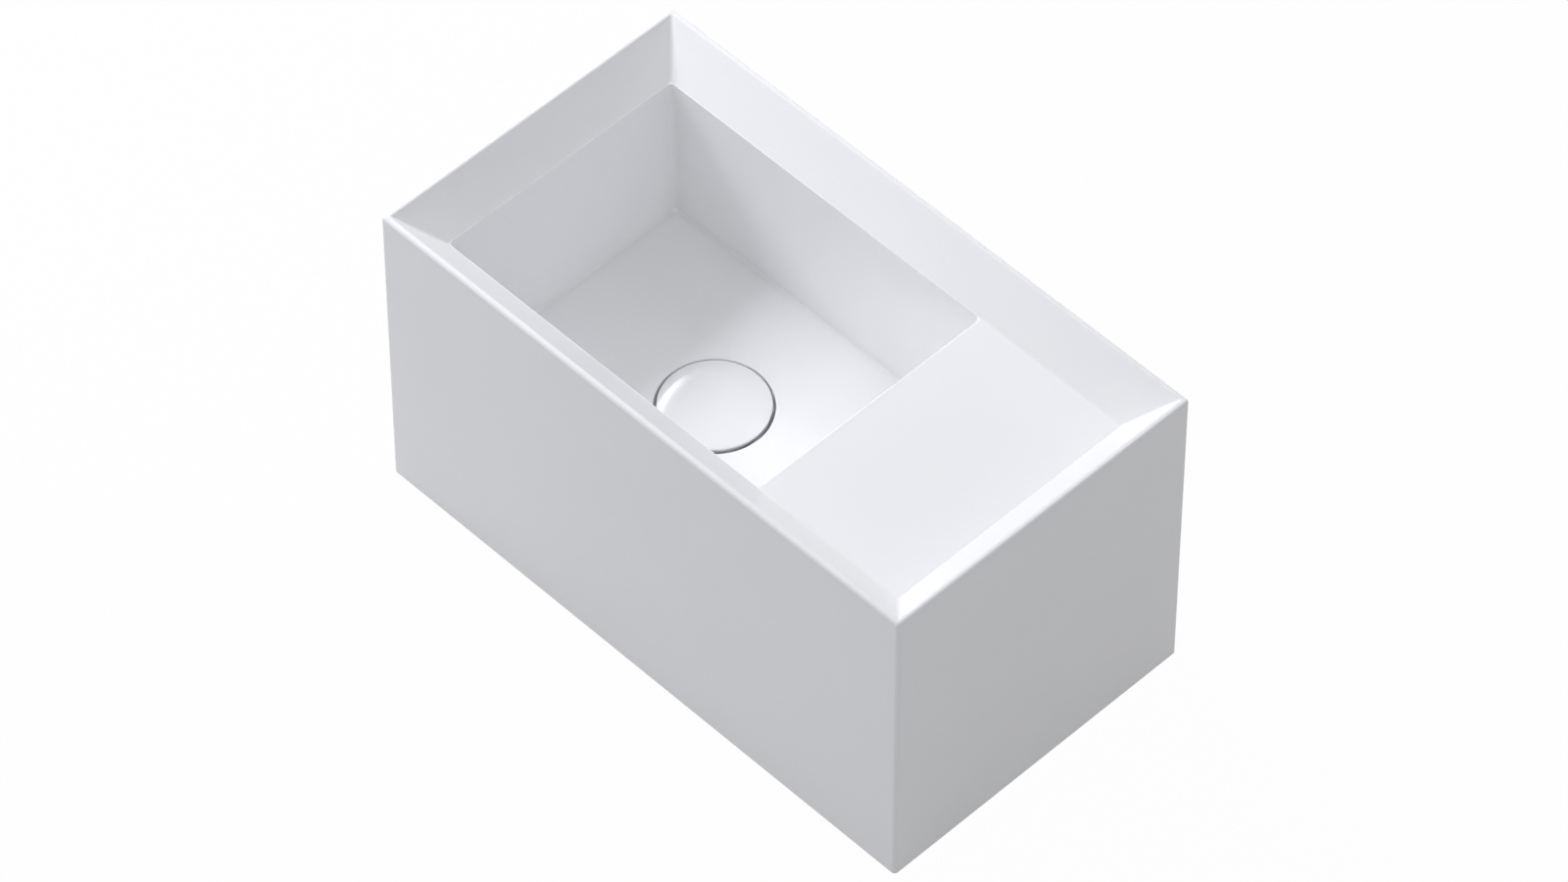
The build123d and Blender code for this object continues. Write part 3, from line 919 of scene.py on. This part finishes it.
class BASIN_OT_cap(bpy.types.Operator):
    """Builds the ceramic cap: an undercut side, a rounded edge and a low dome"""

    bl_idname = "basin.cap"
    bl_label = "Cap"

    def execute(self, context):
        settings = context.scene.basin_cap
        radius = box_radius(CAP_LOW, CAP_HIGH)
        top, low = CAP_HIGH.z, CAP_LOW.z

        def dome(r):
            """Place on the dome: it falls with a power of the radius, flat first, then fast."""
            return np.stack([r, top - settings.crown * (r / radius) ** settings.crown_power], -1)

        # The edge's corner stands out by what its rounding takes off
        corner_radius = radius + 0.28 * settings.edge_radius
        glue = 0.05 * MM  # gap round the plate
        plate_radius = box_radius(PLATE_LOW, PLATE_HIGH) + glue
        plate_top = PLATE_HIGH.z + glue
        near_edge = radius - 1 * MM
        below = rounded(
            [
                (0, plate_top),
                (plate_radius, plate_top),
                (plate_radius, low),
                (radius - settings.undercut, low),
                dome(corner_radius),
                dome(near_edge),
            ],
            [0, 0.3 * MM, 0.3 * MM, 0.35 * MM, settings.edge_radius, 0],
            steps=10,
        )
        outline = np.concatenate([below, dome(np.linspace(near_edge, 0, 48))[1:]])
        glazed = glazed_fireclay(
            "glazed_cap", settings.glaze, settings.glaze_roughness, settings.glaze_ripple
        )
        surface = turned(outline, DRAIN_X, columns=144)
        piece = add_piece("cap", [shell(surface, ring=False)], [glazed])
        stand_for(piece, "cap", "glazed_cap", "waste_cap")
        return {"FINISHED"}


# ---------------------------------------------------------------- waste fittings


def arm(bearing):
    """A bar with rounded edges from the hub to the tail's wall, along one bearing.

    Each row is the same rounded rectangle; its half width grows by 0.6 mm e^(-d / 1 mm) at
    a distance d from the hub's side and from the bore, as a cast fillet does.
    """
    outline = rounded(
        [
            (-ARM_WIDTH / 2, HUB_LOW),
            (ARM_WIDTH / 2, HUB_LOW),
            (ARM_WIDTH / 2, HUB_HIGH),
            (-ARM_WIDTH / 2, HUB_HIGH),
        ],
        [0.7 * MM] * 4,
        steps=5,
        closed=True,
    )
    start, end = HUB_RADIUS - 0.6 * MM, WASTE_BORE_RADIUS + 0.8 * MM
    along = np.linspace(start, end, 17)[:, None]
    from_hub, from_wall = np.abs(along - HUB_RADIUS), np.abs(WASTE_BORE_RADIUS - along)
    grow = ARM_FILLET * (np.exp(-from_hub / MM) + np.exp(-from_wall / MM))
    side = outline[:, 0] + np.sign(outline[:, 0]) * grow
    # A little lower than the hub's top, so that the two don't share a plane
    flatter = 0.9998
    height = HUB_LOW + flatter * (outline[:, 1] - HUB_LOW)
    height = np.broadcast_to(height, side.shape)
    x = DRAIN_X + along * cos(bearing) - side * sin(bearing)
    y = along * sin(bearing) + side * cos(bearing)
    return closed_rows(np.stack([x, y, height], -1))


class BASIN_OT_waste(bpy.types.Operator):
    """Builds the flanged waste: a threaded tail with a relief groove, and a hub on three arms"""

    bl_idname = "basin.waste"
    bl_label = "Waste"

    def execute(self, context):
        settings = context.scene.basin_fittings
        flange_radius = box_radius(WASTE_LOW, WASTE_HIGH)
        low, high = WASTE_LOW.z, WASTE_HIGH.z
        flange_z = high - FLANGE_THICKNESS
        relief_high = NUT_LOW.z - RELIEF_DROP
        relief_low = relief_high - RELIEF_WIDTH
        groove_radius = TAIL_RADIUS - RELIEF_DEPTH
        depth = min(settings.thread_depth, RELIEF_DEPTH - 0.02 * MM)
        step = settings.thread_pitch / 10
        neck_z = flange_z - 2 * MM  # plain above the thread
        bore_foot = (WASTE_BORE_RADIUS, low + 2 * MM)
        head = rounded(
            [
                bore_foot,
                (WASTE_BORE_RADIUS, high - BORE_EDGE),
                (WASTE_BORE_RADIUS + BORE_EDGE, high),
                (flange_radius, high),
                (flange_radius, flange_z),
                (TAIL_RADIUS, flange_z),
                (TAIL_RADIUS, neck_z),
            ],
            [0, 0.6 * MM, 0.6 * MM, 0.83 * MM, 0.3 * MM, 0.4 * MM, 0],
        )
        upper_z = np.arange(neck_z - step, relief_high + step / 2, -step)
        lower_z = np.arange(relief_low - step / 2, low + TAIL_CHAMFER, -step)
        inward = 0.05 * MM  # lean of the groove's sides
        groove = [(groove_radius, relief_high - inward), (groove_radius, relief_low + inward)]
        foot = rounded(
            [(TAIL_RADIUS - TAIL_CHAMFER, low), (WASTE_BORE_RADIUS, low), bore_foot],
            [0, 0.4 * MM, 0],
        )[:-1]
        outline = np.concatenate(
            [
                head,
                np.column_stack([np.full_like(upper_z, TAIL_RADIUS), upper_z]),
                groove,
                np.column_stack([np.full_like(lower_z, TAIL_RADIUS), lower_z]),
                foot,
            ]
        )

        def threaded(r, z, a):
            # Whitworth flanks: a triangle wave along z - pitch a / 2 pi, rounded at crest
            # and root, that runs out 3 mm below the flange; the tail's end is chamfered
            phase = (z / settings.thread_pitch - a / tau) % 1
            cut = depth * smooth_step(np.abs(2 * phase - 1), 0.08, 0.92)
            cut *= 1 - smooth_step(z, flange_z - 5 * MM, flange_z - 3 * MM)
            end = TAIL_RADIUS - TAIL_CHAMFER + np.maximum(z - low, 0)
            return np.where(np.abs(r - TAIL_RADIUS) < HAIR, np.minimum(r - cut, end), r)

        tail = shell(turned(outline, DRAIN_X, 96, threaded))
        hub = rounded(
            [
                (HUB_BORE_RADIUS, HUB_LOW),
                (HUB_RADIUS, HUB_LOW),
                (HUB_RADIUS, HUB_HIGH),
                (HUB_BORE_RADIUS, HUB_HIGH),
            ],
            [0.4 * MM] * 4,
            closed=True,
        )
        parts = [tail, shell(turned(hub, DRAIN_X, 72))]
        parts += [arm(radians(bearing)) for bearing in (0, 120, 240)]
        piece = add_piece("waste", parts, [finish(chromed_brass, settings)], sharp_angle=75.0)
        weigh(piece)
        stand_for(piece, "basin", "chromed_brass", "waste_body")
        return {"FINISHED"}


def flat_ring(inner, low, high, edge):
    """Section of a flat ring that fills its box, with rounded edges."""
    radius = box_radius(low, high)
    corners = [(inner, low.z), (radius, low.z), (radius, high.z), (inner, high.z)]
    return rounded(corners, [edge] * 4, closed=True)


def cone_section():
    """Section of the cone washer: a 45 degree cone, and a collar that enters the hole."""
    cone_radius = box_radius(CONE_LOW, CONE_HIGH)
    collar_z = CONE_HIGH.z - CONE_COLLAR_HEIGHT
    fine, soft = 0.3 * MM, 0.8 * MM
    return rounded(
        [
            (WASHER_BORE_RADIUS, CONE_LOW.z),
            (CONE_FOOT_RADIUS, CONE_LOW.z),
            (cone_radius, CONE_LOW.z + cone_radius - CONE_FOOT_RADIUS),
            (cone_radius, collar_z),
            (CONE_COLLAR_RADIUS, collar_z),
            (CONE_COLLAR_RADIUS, CONE_HIGH.z),
            (WASHER_BORE_RADIUS, CONE_HIGH.z),
        ],
        [fine, soft, soft, soft, fine, fine, fine],
        closed=True,
    )


class BASIN_OT_washers(bpy.types.Operator):
    """Builds the rubber gasket, cone washer and cap seal, and the acetal slip washer"""

    bl_idname = "basin.washers"
    bl_label = "Washers"

    def execute(self, context):
        settings = context.scene.basin_fittings
        rubber, acetal = finish(black_rubber, settings), finish(grey_acetal, settings)
        gasket = flat_ring(GASKET_BORE_RADIUS, GASKET_LOW, GASKET_HIGH, 0.5 * MM)
        slip = flat_ring(WASHER_BORE_RADIUS, SLIP_LOW, SLIP_HIGH, 0.4 * MM)
        seal = flat_ring(SEAL_BORE_RADIUS, SEAL_LOW, SEAL_HIGH, 0.6 * MM)
        for name, body, material, outline, node in (
            ("gasket", "basin", rubber, gasket, "flange_gasket"),
            ("cone", "basin", rubber, cone_section(), "cone_washer"),
            ("slip", "basin", acetal, slip, "slip_washer"),
            ("seal", "cap", rubber, seal, "cap_seal"),
        ):
            piece = add_piece(name, [shell(turned(outline, DRAIN_X, 128))], [material])
            weigh(piece)
            stand_for(piece, body, material.name, node)
        return {"FINISHED"}


class BASIN_OT_back_nut(bpy.types.Operator):
    """Builds the brass back nut: a hexagon whose corners a 30 degree cone cuts at both ends"""

    bl_idname = "basin.back_nut"
    bl_label = "Back nut"

    def execute(self, context):
        settings = context.scene.basin_fittings
        low, high = NUT_LOW.z, NUT_HIGH.z
        lead_in = 0.5 * MM
        face_radius = 0.475 * NUT_FLATS
        far = NUT_FLATS / 2 / cos(radians(30))
        ends = np.concatenate([np.linspace(0.0, 3.4 * MM, 12), [(high - low) / 2]])
        heights = np.concatenate([low + ends, high - ends[-2::-1]])
        sides = np.column_stack([np.full_like(heights, far), heights])
        inside = rounded(
            [
                (face_radius, high),
                (NUT_BORE_RADIUS + lead_in, high),
                (NUT_BORE_RADIUS, high - lead_in),
                (NUT_BORE_RADIUS, low + lead_in),
                (NUT_BORE_RADIUS + lead_in, low),
                (face_radius, low),
            ],
            [0] + [0.15 * MM] * 4 + [0],
            steps=3,
        )[1:-1]

        def hexagon(r, z, a):
            # The nearer of the flat, (AF / 2) / cos(angle from its middle), and the cone
            flat = NUT_FLATS / 2 / np.cos(a % radians(60) - radians(30))
            cone = face_radius + np.minimum(z - low, high - z) * tan(radians(60))
            return np.where(r > face_radius + MM, np.minimum(flat, cone), r)

        outline = np.concatenate([sides, inside])
        grid = turned(outline, DRAIN_X, 180, hexagon)
        brass = finish(plain_brass, settings)
        piece = add_piece("nut", [shell(grid)], [brass], sharp_angle=24.0)
        stand_for(piece, "basin", "plain_brass", "back_nut")
        return {"FINISHED"}


class BASIN_OT_spring(bpy.types.Operator):
    """Builds the return spring: a round wire along a helix"""

    bl_idname = "basin.spring"
    bl_label = "Spring"

    def execute(self, context):
        settings = context.scene.basin_fittings
        wire = settings.spring_wire_radius
        coil = box_radius(SPRING_LOW, SPRING_HIGH) - wire
        low, high = SPRING_LOW.z + wire, SPRING_HIGH.z - wire
        turns = settings.spring_turns
        # Path: (coil cos a, coil sin a, low + rise a / 2 pi), with a half ball at each end
        share_along = np.linspace(0, 1, turns * 48 + 1)
        ball = np.linspace(0, pi / 2, 5)[:-1]
        swell, back = wire * np.sin(ball), wire * np.cos(ball)
        radius = np.concatenate([swell, np.full_like(share_along, wire), swell[::-1]])
        past = np.concatenate([-back, 0 * share_along, back[::-1]])
        t = np.concatenate([0 * ball, share_along, 0 * ball + 1])
        a = t * turns * tau
        ones, zeros = np.ones_like(a), np.zeros_like(a)
        out = np.stack([np.cos(a), np.sin(a), zeros], -1)
        climb = (high - low) / (turns * tau)
        ahead = np.stack([-np.sin(a) * coil, np.cos(a) * coil, ones * climb], -1)
        ahead /= np.linalg.norm(ahead, axis=1, keepdims=True)
        across = np.cross(ahead, out)
        path = coil * out + np.stack([ones * DRAIN_X, zeros, low + (high - low) * t], -1)
        path += past[:, None] * ahead
        around = (np.arange(16) * tau / 16)[None, :, None]
        round_wire = np.cos(around) * out[:, None] + np.sin(around) * across[:, None]
        grid = path[:, None] + radius[:, None, None] * round_wire
        steel = finish(spring_steel, settings)
        piece = add_piece("spring", [shell(grid, ring=False)], [steel], sharp_angle=60.0)
        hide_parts("return_spring")
        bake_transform(piece)
        return {"FINISHED"}


class BASIN_OT_bushes(bpy.types.Operator):
    """Builds the two nylon bushes that line the wall-fixing holes"""

    bl_idname = "basin.bushes"
    bl_label = "Wall bushes"

    def execute(self, context):
        settings = context.scene.basin_fittings
        low, high = BUSH_LOW.y, BUSH_HIGH.y
        collar_y = low + BUSH_COLLAR_THICKNESS
        section = rounded(
            [
                (BUSH_BORE_RADIUS, low),
                (BUSH_COLLAR_RADIUS, low),
                (BUSH_COLLAR_RADIUS, collar_y),
                (BUSH_RADIUS, collar_y),
                (BUSH_RADIUS, high),
                (BUSH_BORE_RADIUS, high),
            ],
            [0.6 * MM, 0.8 * MM, 0.5 * MM, 0.2 * MM, 0.6 * MM, 0.4 * MM],
            closed=True,
        )
        nylon = finish(white_nylon, settings)
        piece = add_piece("bushes", fixing_rounds(section, ring=True), [nylon])
        weigh(piece)
        stand_for(piece, "basin", "white_nylon", "fixing_bushes")
        return {"FINISHED"}


# ---------------------------------------------------------------- materials


def add_node(tree, kind, values=None, links=None, **settings):
    """Adds a node with its settings, its plain input values and what feeds its inputs."""
    node = tree.nodes.new(kind)
    for key, value in settings.items():
        setattr(node, key, value)
    for socket, value in (values or {}).items():
        node.inputs[socket].default_value = value
    for socket, source in (links or {}).items():
        tree.links.new(source, node.inputs[socket])
    return node


def new_material(name, values):
    """A material with a Principled surface; returns it, its tree and its shader."""
    material = bpy.data.materials.new(name)
    material.use_nodes = True
    tree = material.node_tree
    tree.nodes.clear()
    shader = add_node(tree, "ShaderNodeBsdfPrincipled", values)
    add_node(tree, "ShaderNodeOutputMaterial", links={"Surface": shader.outputs["BSDF"]})
    return material, tree, shader


def opaque(rgb, shade=1.0):
    """A colour with full alpha, made lighter or darker by a factor."""
    return (*(min(1.0, channel * shade) for channel in rgb), 1.0)


def glazed_fireclay(name, glaze, roughness, ripple):
    """Fireclay dipped in an opaque white glaze and fired.

    The eye gets a cool white, a clean gloss, and reflections that swim a little because the
    glaze lies in long shallow ripples with a finer peel on them.
    """
    material, tree, shader = new_material(name, {"Roughness": roughness, "IOR": 1.5})
    place = add_node(tree, "ShaderNodeTexCoord").outputs["Object"]
    # Glaze that ran thicker or thinner over a hand's breadth: 60 mm
    cloud = add_node(
        tree,
        "ShaderNodeTexNoise",
        {"Scale": 1 / (60 * MM), "Detail": 1.0, "Roughness": 0.4},
        {"Vector": place},
    )
    shade = add_node(
        tree,
        "ShaderNodeMix",
        {"A": opaque(glaze, 0.985), "B": opaque(glaze, 1.01)},
        {"Factor": cloud.outputs["Fac"]},
        data_type="RGBA",
    )
    # Painted shade: the bowl's inner corners are drawn a little darker, as if they lay in shade
    pooled = add_node(tree, "ShaderNodeAttribute", attribute_name="pooled")
    darker = add_node(
        tree,
        "ShaderNodeMix",
        {"B": opaque(glaze, 0.94)},
        {"Factor": pooled.outputs["Fac"], "A": shade.outputs["Result"]},
        data_type="RGBA",
    )
    tree.links.new(darker.outputs["Result"], shader.inputs["Base Color"])
    # Ripples 30 mm long, and a peel of 3 mm that is a tenth as high
    ripples = add_node(
        tree, "ShaderNodeTexNoise", {"Scale": 1 / (30 * MM), "Detail": 0.0}, {"Vector": place}
    )
    peel = add_node(
        tree, "ShaderNodeTexNoise", {"Scale": 1 / (3 * MM), "Detail": 1.0}, {"Vector": place}
    )
    height = add_node(
        tree,
        "ShaderNodeMath",
        {1: 0.1},
        {0: peel.outputs["Fac"], 2: ripples.outputs["Fac"]},
        operation="MULTIPLY_ADD",
    )
    bump = add_node(
        tree,
        "ShaderNodeBump",
        {"Strength": 1.0, "Distance": ripple},
        {"Height": height.outputs["Value"]},
    )
    tree.links.new(bump.outputs["Normal"], shader.inputs["Normal"])
    return material


def bare_fireclay(biscuit):
    """Fireclay left without glaze: a dry, pale buff body with fine grog in it."""
    material, tree, shader = new_material("bare_fireclay", {"Roughness": 0.92, "IOR": 1.5})
    place = add_node(tree, "ShaderNodeTexCoord").outputs["Object"]
    # Grog of about 0.7 mm, drawn at twice that so that it shows, and stains of 45 mm
    grog = add_node(
        tree, "ShaderNodeTexNoise", {"Scale": 1 / (1.5 * MM), "Detail": 2.0}, {"Vector": place}
    )
    stain = add_node(
        tree, "ShaderNodeTexNoise", {"Scale": 1 / (45 * MM), "Detail": 2.0}, {"Vector": place}
    )
    spread = add_node(
        tree,
        "ShaderNodeMath",
        {1: 0.55},
        {0: grog.outputs["Fac"], 2: stain.outputs["Fac"]},
        operation="MULTIPLY_ADD",
    )
    shade = add_node(
        tree,
        "ShaderNodeMix",
        {"A": opaque(biscuit, 0.86), "B": opaque(biscuit, 1.06)},
        {"Factor": spread.outputs["Value"]},
        data_type="RGBA",
    )
    tree.links.new(shade.outputs["Result"], shader.inputs["Base Color"])
    bump = add_node(
        tree,
        "ShaderNodeBump",
        {"Strength": 1.0, "Distance": 0.06 * MM},
        {"Height": grog.outputs["Fac"]},
    )
    tree.links.new(bump.outputs["Normal"], shader.inputs["Normal"])
    return material


def plain_metal(name, rgb, roughness, grain):
    """Bare metal with its cut or polish lines as a fine even grain."""
    material, tree, shader = new_material(name, {"Metallic": 1.0})
    place = add_node(tree, "ShaderNodeTexCoord").outputs["Object"]
    lines = add_node(
        tree,
        "ShaderNodeTexNoise",
        {"Scale": 1 / grain, "Detail": 3.0, "Roughness": 0.6},
        {"Vector": place},
    ).outputs["Fac"]
    shade = add_node(
        tree,
        "ShaderNodeMix",
        {"A": opaque(rgb, 0.9), "B": opaque(rgb, 1.06)},
        {"Factor": lines},
        data_type="RGBA",
    )
    tree.links.new(shade.outputs["Result"], shader.inputs["Base Color"])
    gloss = add_node(
        tree,
        "ShaderNodeMapRange",
        {"To Min": roughness * 0.75, "To Max": roughness * 1.25},
        {"Value": lines},
    )
    tree.links.new(gloss.outputs["Result"], shader.inputs["Roughness"])
    bump = add_node(
        tree, "ShaderNodeBump", {"Strength": 1.0, "Distance": 0.004 * MM}, {"Height": lines}
    )
    tree.links.new(bump.outputs["Normal"], shader.inputs["Normal"])
    return material


def moulded(name, rgb, roughness, grain, depth):
    """Rubber or plastic with the fine skin of its mould."""
    material, tree, shader = new_material(name, {"Roughness": roughness, "IOR": 1.5})
    place = add_node(tree, "ShaderNodeTexCoord").outputs["Object"]
    skin = add_node(
        tree, "ShaderNodeTexNoise", {"Scale": 1 / grain, "Detail": 2.0}, {"Vector": place}
    ).outputs["Fac"]
    shade = add_node(
        tree,
        "ShaderNodeMix",
        {"A": opaque(rgb, 0.88), "B": opaque(rgb, 1.08)},
        {"Factor": skin},
        data_type="RGBA",
    )
    tree.links.new(shade.outputs["Result"], shader.inputs["Base Color"])
    bump = add_node(tree, "ShaderNodeBump", {"Strength": 1.0, "Distance": depth}, {"Height": skin})
    tree.links.new(bump.outputs["Normal"], shader.inputs["Normal"])
    return material


def chromed_brass(settings):
    """Brass, turned, polished and plated: a bright, slightly cool mirror."""
    return plain_metal("chromed_brass", settings.chrome, 0.12, 0.6 * MM)


def plain_brass(settings):
    """Brass as it leaves the lathe: warm, with a soft sheen."""
    return plain_metal("plain_brass", settings.brass, 0.32, 0.4 * MM)


def spring_steel(settings):
    """Drawn stainless wire, coiled: grey, with a soft sheen."""
    return plain_metal("spring_steel", settings.steel, 0.3, 0.3 * MM)


def black_rubber(settings):
    """Moulded rubber: nearly black and dull."""
    return moulded("black_rubber", settings.rubber, 0.72, 0.5 * MM, 0.02 * MM)


def grey_acetal(settings):
    """Injection-moulded acetal: mid grey, with a waxy sheen."""
    return moulded("grey_acetal", settings.acetal, 0.42, 0.8 * MM, 0.006 * MM)


def white_nylon(settings):
    """Injection-moulded nylon: off-white and half matt."""
    return moulded("white_nylon", settings.nylon, 0.5, 0.8 * MM, 0.008 * MM)


def finish(make, settings):
    """The finish that a function makes. It bears the function's name, and is made once."""
    return bpy.data.materials.get(make.__name__) or make(settings)


class BASIN_OT_fittings(bpy.types.Operator):
    """Gives the metal and acetal pieces that keep their CAD shape their finishes"""

    bl_idname = "basin.fittings"
    bl_label = "Fittings"

    def execute(self, context):
        settings = context.scene.basin_fittings
        finishes = {
            plain_brass: ("height_locknut", "plunger"),
            chromed_brass: ("cap_plate", "cartridge_housing"),
            grey_acetal: ("index_rotor", "cartridge_plug"),
        }
        for make, nodes in finishes.items():
            for node in nodes:
                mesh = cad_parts[node].data
                mesh.materials.clear()
                mesh.materials.append(finish(make, settings))
        return {"FINISHED"}


# ---------------------------------------------------------------- stage


def direction(azimuth, elevation):
    """Unit vector from the object to a place: azimuth 0 is in front of it, 90 on its +X side."""
    return Vector(
        (sin(azimuth) * cos(elevation), -cos(azimuth) * cos(elevation), sin(elevation))
    )


def white_to_the_eye(tree, surface, white_share):
    """Mixes plain white into a surface for camera, glossy and transmission rays only."""
    path = add_node(tree, "ShaderNodeLightPath")
    seen = add_node(
        tree,
        "ShaderNodeMath",
        links={0: path.outputs["Is Camera Ray"], 1: path.outputs["Is Glossy Ray"]},
        operation="MAXIMUM",
    )
    seen = add_node(
        tree,
        "ShaderNodeMath",
        links={0: seen.outputs["Value"], 1: path.outputs["Is Transmission Ray"]},
        operation="MAXIMUM",
    )
    part = add_node(
        tree, "ShaderNodeMath", {1: white_share}, {0: seen.outputs["Value"]}, operation="MULTIPLY"
    )
    white = add_node(tree, "ShaderNodeEmission", {"Color": (1, 1, 1, 1), "Strength": 1.0})
    return add_node(
        tree,
        "ShaderNodeMixShader",
        links={0: part.outputs["Value"], 1: surface, 2: white.outputs["Emission"]},
    )


FLOOR_HALF = 4.0
CAMERA_TARGET = (-2.0 * MM, 3.7 * MM, 100.0 * MM)

# Softboxes: name, azimuth, elevation, distance, width, height, radiance (1 is white)
SOFTBOXES = (
    ("key", -91.0, 42.0, 1.6, 1.5, 0.45, 8.7),
    ("left_fill", -50.0, 30.0, 2.2, 1.4, 1.4, 0.5),
    ("front_fill", 0.0, 22.0, 2.2, 1.4, 1.4, 0.36),
    ("right_top", 70.0, 55.0, 2.2, 1.4, 1.4, 1.08),
    ("back", 180.0, 45.0, 2.2, 1.4, 1.4, 1.0),
)


class BASIN_OT_stage(bpy.types.Operator):
    """Makes the floor, the soft studio light and the camera"""

    bl_idname = "basin.stage"
    bl_label = "Stage"

    def execute(self, context):
        settings = context.scene.basin_stage
        scene = context.scene
        scene.view_settings.view_transform = "Standard"

        half = FLOOR_HALF
        corners = [(-half, -half, 0), (half, -half, 0), (half, half, 0), (-half, half, 0)]
        mesh = bpy.data.meshes.new("floor")
        mesh.from_pydata(corners, [], [(0, 1, 2, 3)])
        floor = bpy.data.objects.new("floor", mesh)
        floor.location.z = cad_low.z - 0.1 * MM
        scene.collection.objects.link(floor)
        material, tree, shader = new_material(
            "studio_floor", {"Base Color": opaque(settings.floor), "Roughness": 0.9}
        )
        seen = white_to_the_eye(tree, shader.outputs["BSDF"], settings.backdrop_share)
        output = next(node for node in tree.nodes if node.type == "OUTPUT_MATERIAL")
        tree.links.new(seen.outputs["Shader"], output.inputs["Surface"])
        mesh.materials.append(material)

        world = bpy.data.worlds.new("studio")
        world.use_nodes = True
        tree = world.node_tree
        tree.nodes.clear()
        ambient = add_node(
            tree,
            "ShaderNodeBackground",
            {"Color": opaque(settings.daylight), "Strength": settings.ambient},
        )
        seen = white_to_the_eye(tree, ambient.outputs["Background"], 1.0)
        add_node(tree, "ShaderNodeOutputWorld", links={"Surface": seen.outputs["Shader"]})
        scene.world = world

        aim = (cad_low + cad_high) / 2
        for name, azimuth, elevation, distance, width, height, radiance in SOFTBOXES:
            lamp = bpy.data.lights.new(name, "AREA")
            lamp.shape, lamp.size, lamp.size_y = "RECTANGLE", width, height
            lamp.energy = radiance * pi * width * height
            lamp.color = settings.daylight[:3]
            box = bpy.data.objects.new(name, lamp)
            away = direction(radians(azimuth), radians(elevation))
            box.location = aim + away * distance
            box.rotation_mode = "QUATERNION"
            box.rotation_quaternion = (-away).to_track_quat("-Z", "Y")
            scene.collection.objects.link(box)

        camera_data = bpy.data.cameras.new("camera")
        camera_data.sensor_width = 36.0
        camera_data.lens = settings.lens
        camera_data.clip_end = 50.0
        camera = bpy.data.objects.new("camera", camera_data)
        back = direction(settings.azimuth, settings.elevation)
        camera.location = Vector(CAMERA_TARGET) + back * settings.distance
        camera.rotation_mode = "QUATERNION"
        camera.rotation_quaternion = (-back).to_track_quat("-Z", "Y")
        scene.collection.objects.link(camera)
        scene.camera = camera
        return {"FINISHED"}


class BASIN_PT_panel(bpy.types.Panel):
    """Lists the sizes, the colours and the operators"""

    bl_idname = "BASIN_PT_panel"
    bl_label = "Hand Basin"
    bl_space_type = "VIEW_3D"
    bl_region_type = "UI"
    bl_category = "Hand Basin"

    def draw(self, context):
        for operator, group in OPERATORS:
            box = self.layout.box()
            settings = getattr(context.scene, group)
            for name in settings.bl_rna.properties.keys():
                if name not in ("rna_type", "name"):
                    box.prop(settings, name)
            box.operator(operator.bl_idname)


# Each operator with the group of settings that it reads, in the order of the work
OPERATORS = (
    (BASIN_OT_stage, "basin_stage"),
    (BASIN_OT_casting, "basin_casting"),
    (BASIN_OT_cap, "basin_cap"),
    (BASIN_OT_waste, "basin_fittings"),
    (BASIN_OT_washers, "basin_fittings"),
    (BASIN_OT_back_nut, "basin_fittings"),
    (BASIN_OT_spring, "basin_fittings"),
    (BASIN_OT_bushes, "basin_fittings"),
    (BASIN_OT_fittings, "basin_fittings"),
)
GROUPS = {
    "basin_casting": CastingSettings,
    "basin_cap": CapSettings,
    "basin_fittings": FittingSettings,
    "basin_stage": StageSettings,
}


def register():
    """Registers the classes and hangs the groups of settings on the scene."""
    for name, group in GROUPS.items():
        bpy.utils.register_class(group)
        setattr(bpy.types.Scene, name, bpy.props.PointerProperty(type=group))
    for operator, _ in OPERATORS:
        bpy.utils.register_class(operator)
    bpy.utils.register_class(BASIN_PT_panel)


def unregister():
    """Undoes what register did, in the opposite order."""
    bpy.utils.unregister_class(BASIN_PT_panel)
    for operator, _ in reversed(OPERATORS):
        bpy.utils.unregister_class(operator)
    for name, group in reversed(GROUPS.items()):
        delattr(bpy.types.Scene, name)
        bpy.utils.unregister_class(group)


def main():
    """Registers the add-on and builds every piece."""
    register()
    bpy.ops.basin.stage()
    bpy.ops.basin.casting()
    bpy.ops.basin.cap()
    bpy.ops.basin.waste()
    bpy.ops.basin.washers()
    bpy.ops.basin.back_nut()
    bpy.ops.basin.spring()
    bpy.ops.basin.bushes()
    bpy.ops.basin.fittings()


if __name__ == "__main__":
    main()
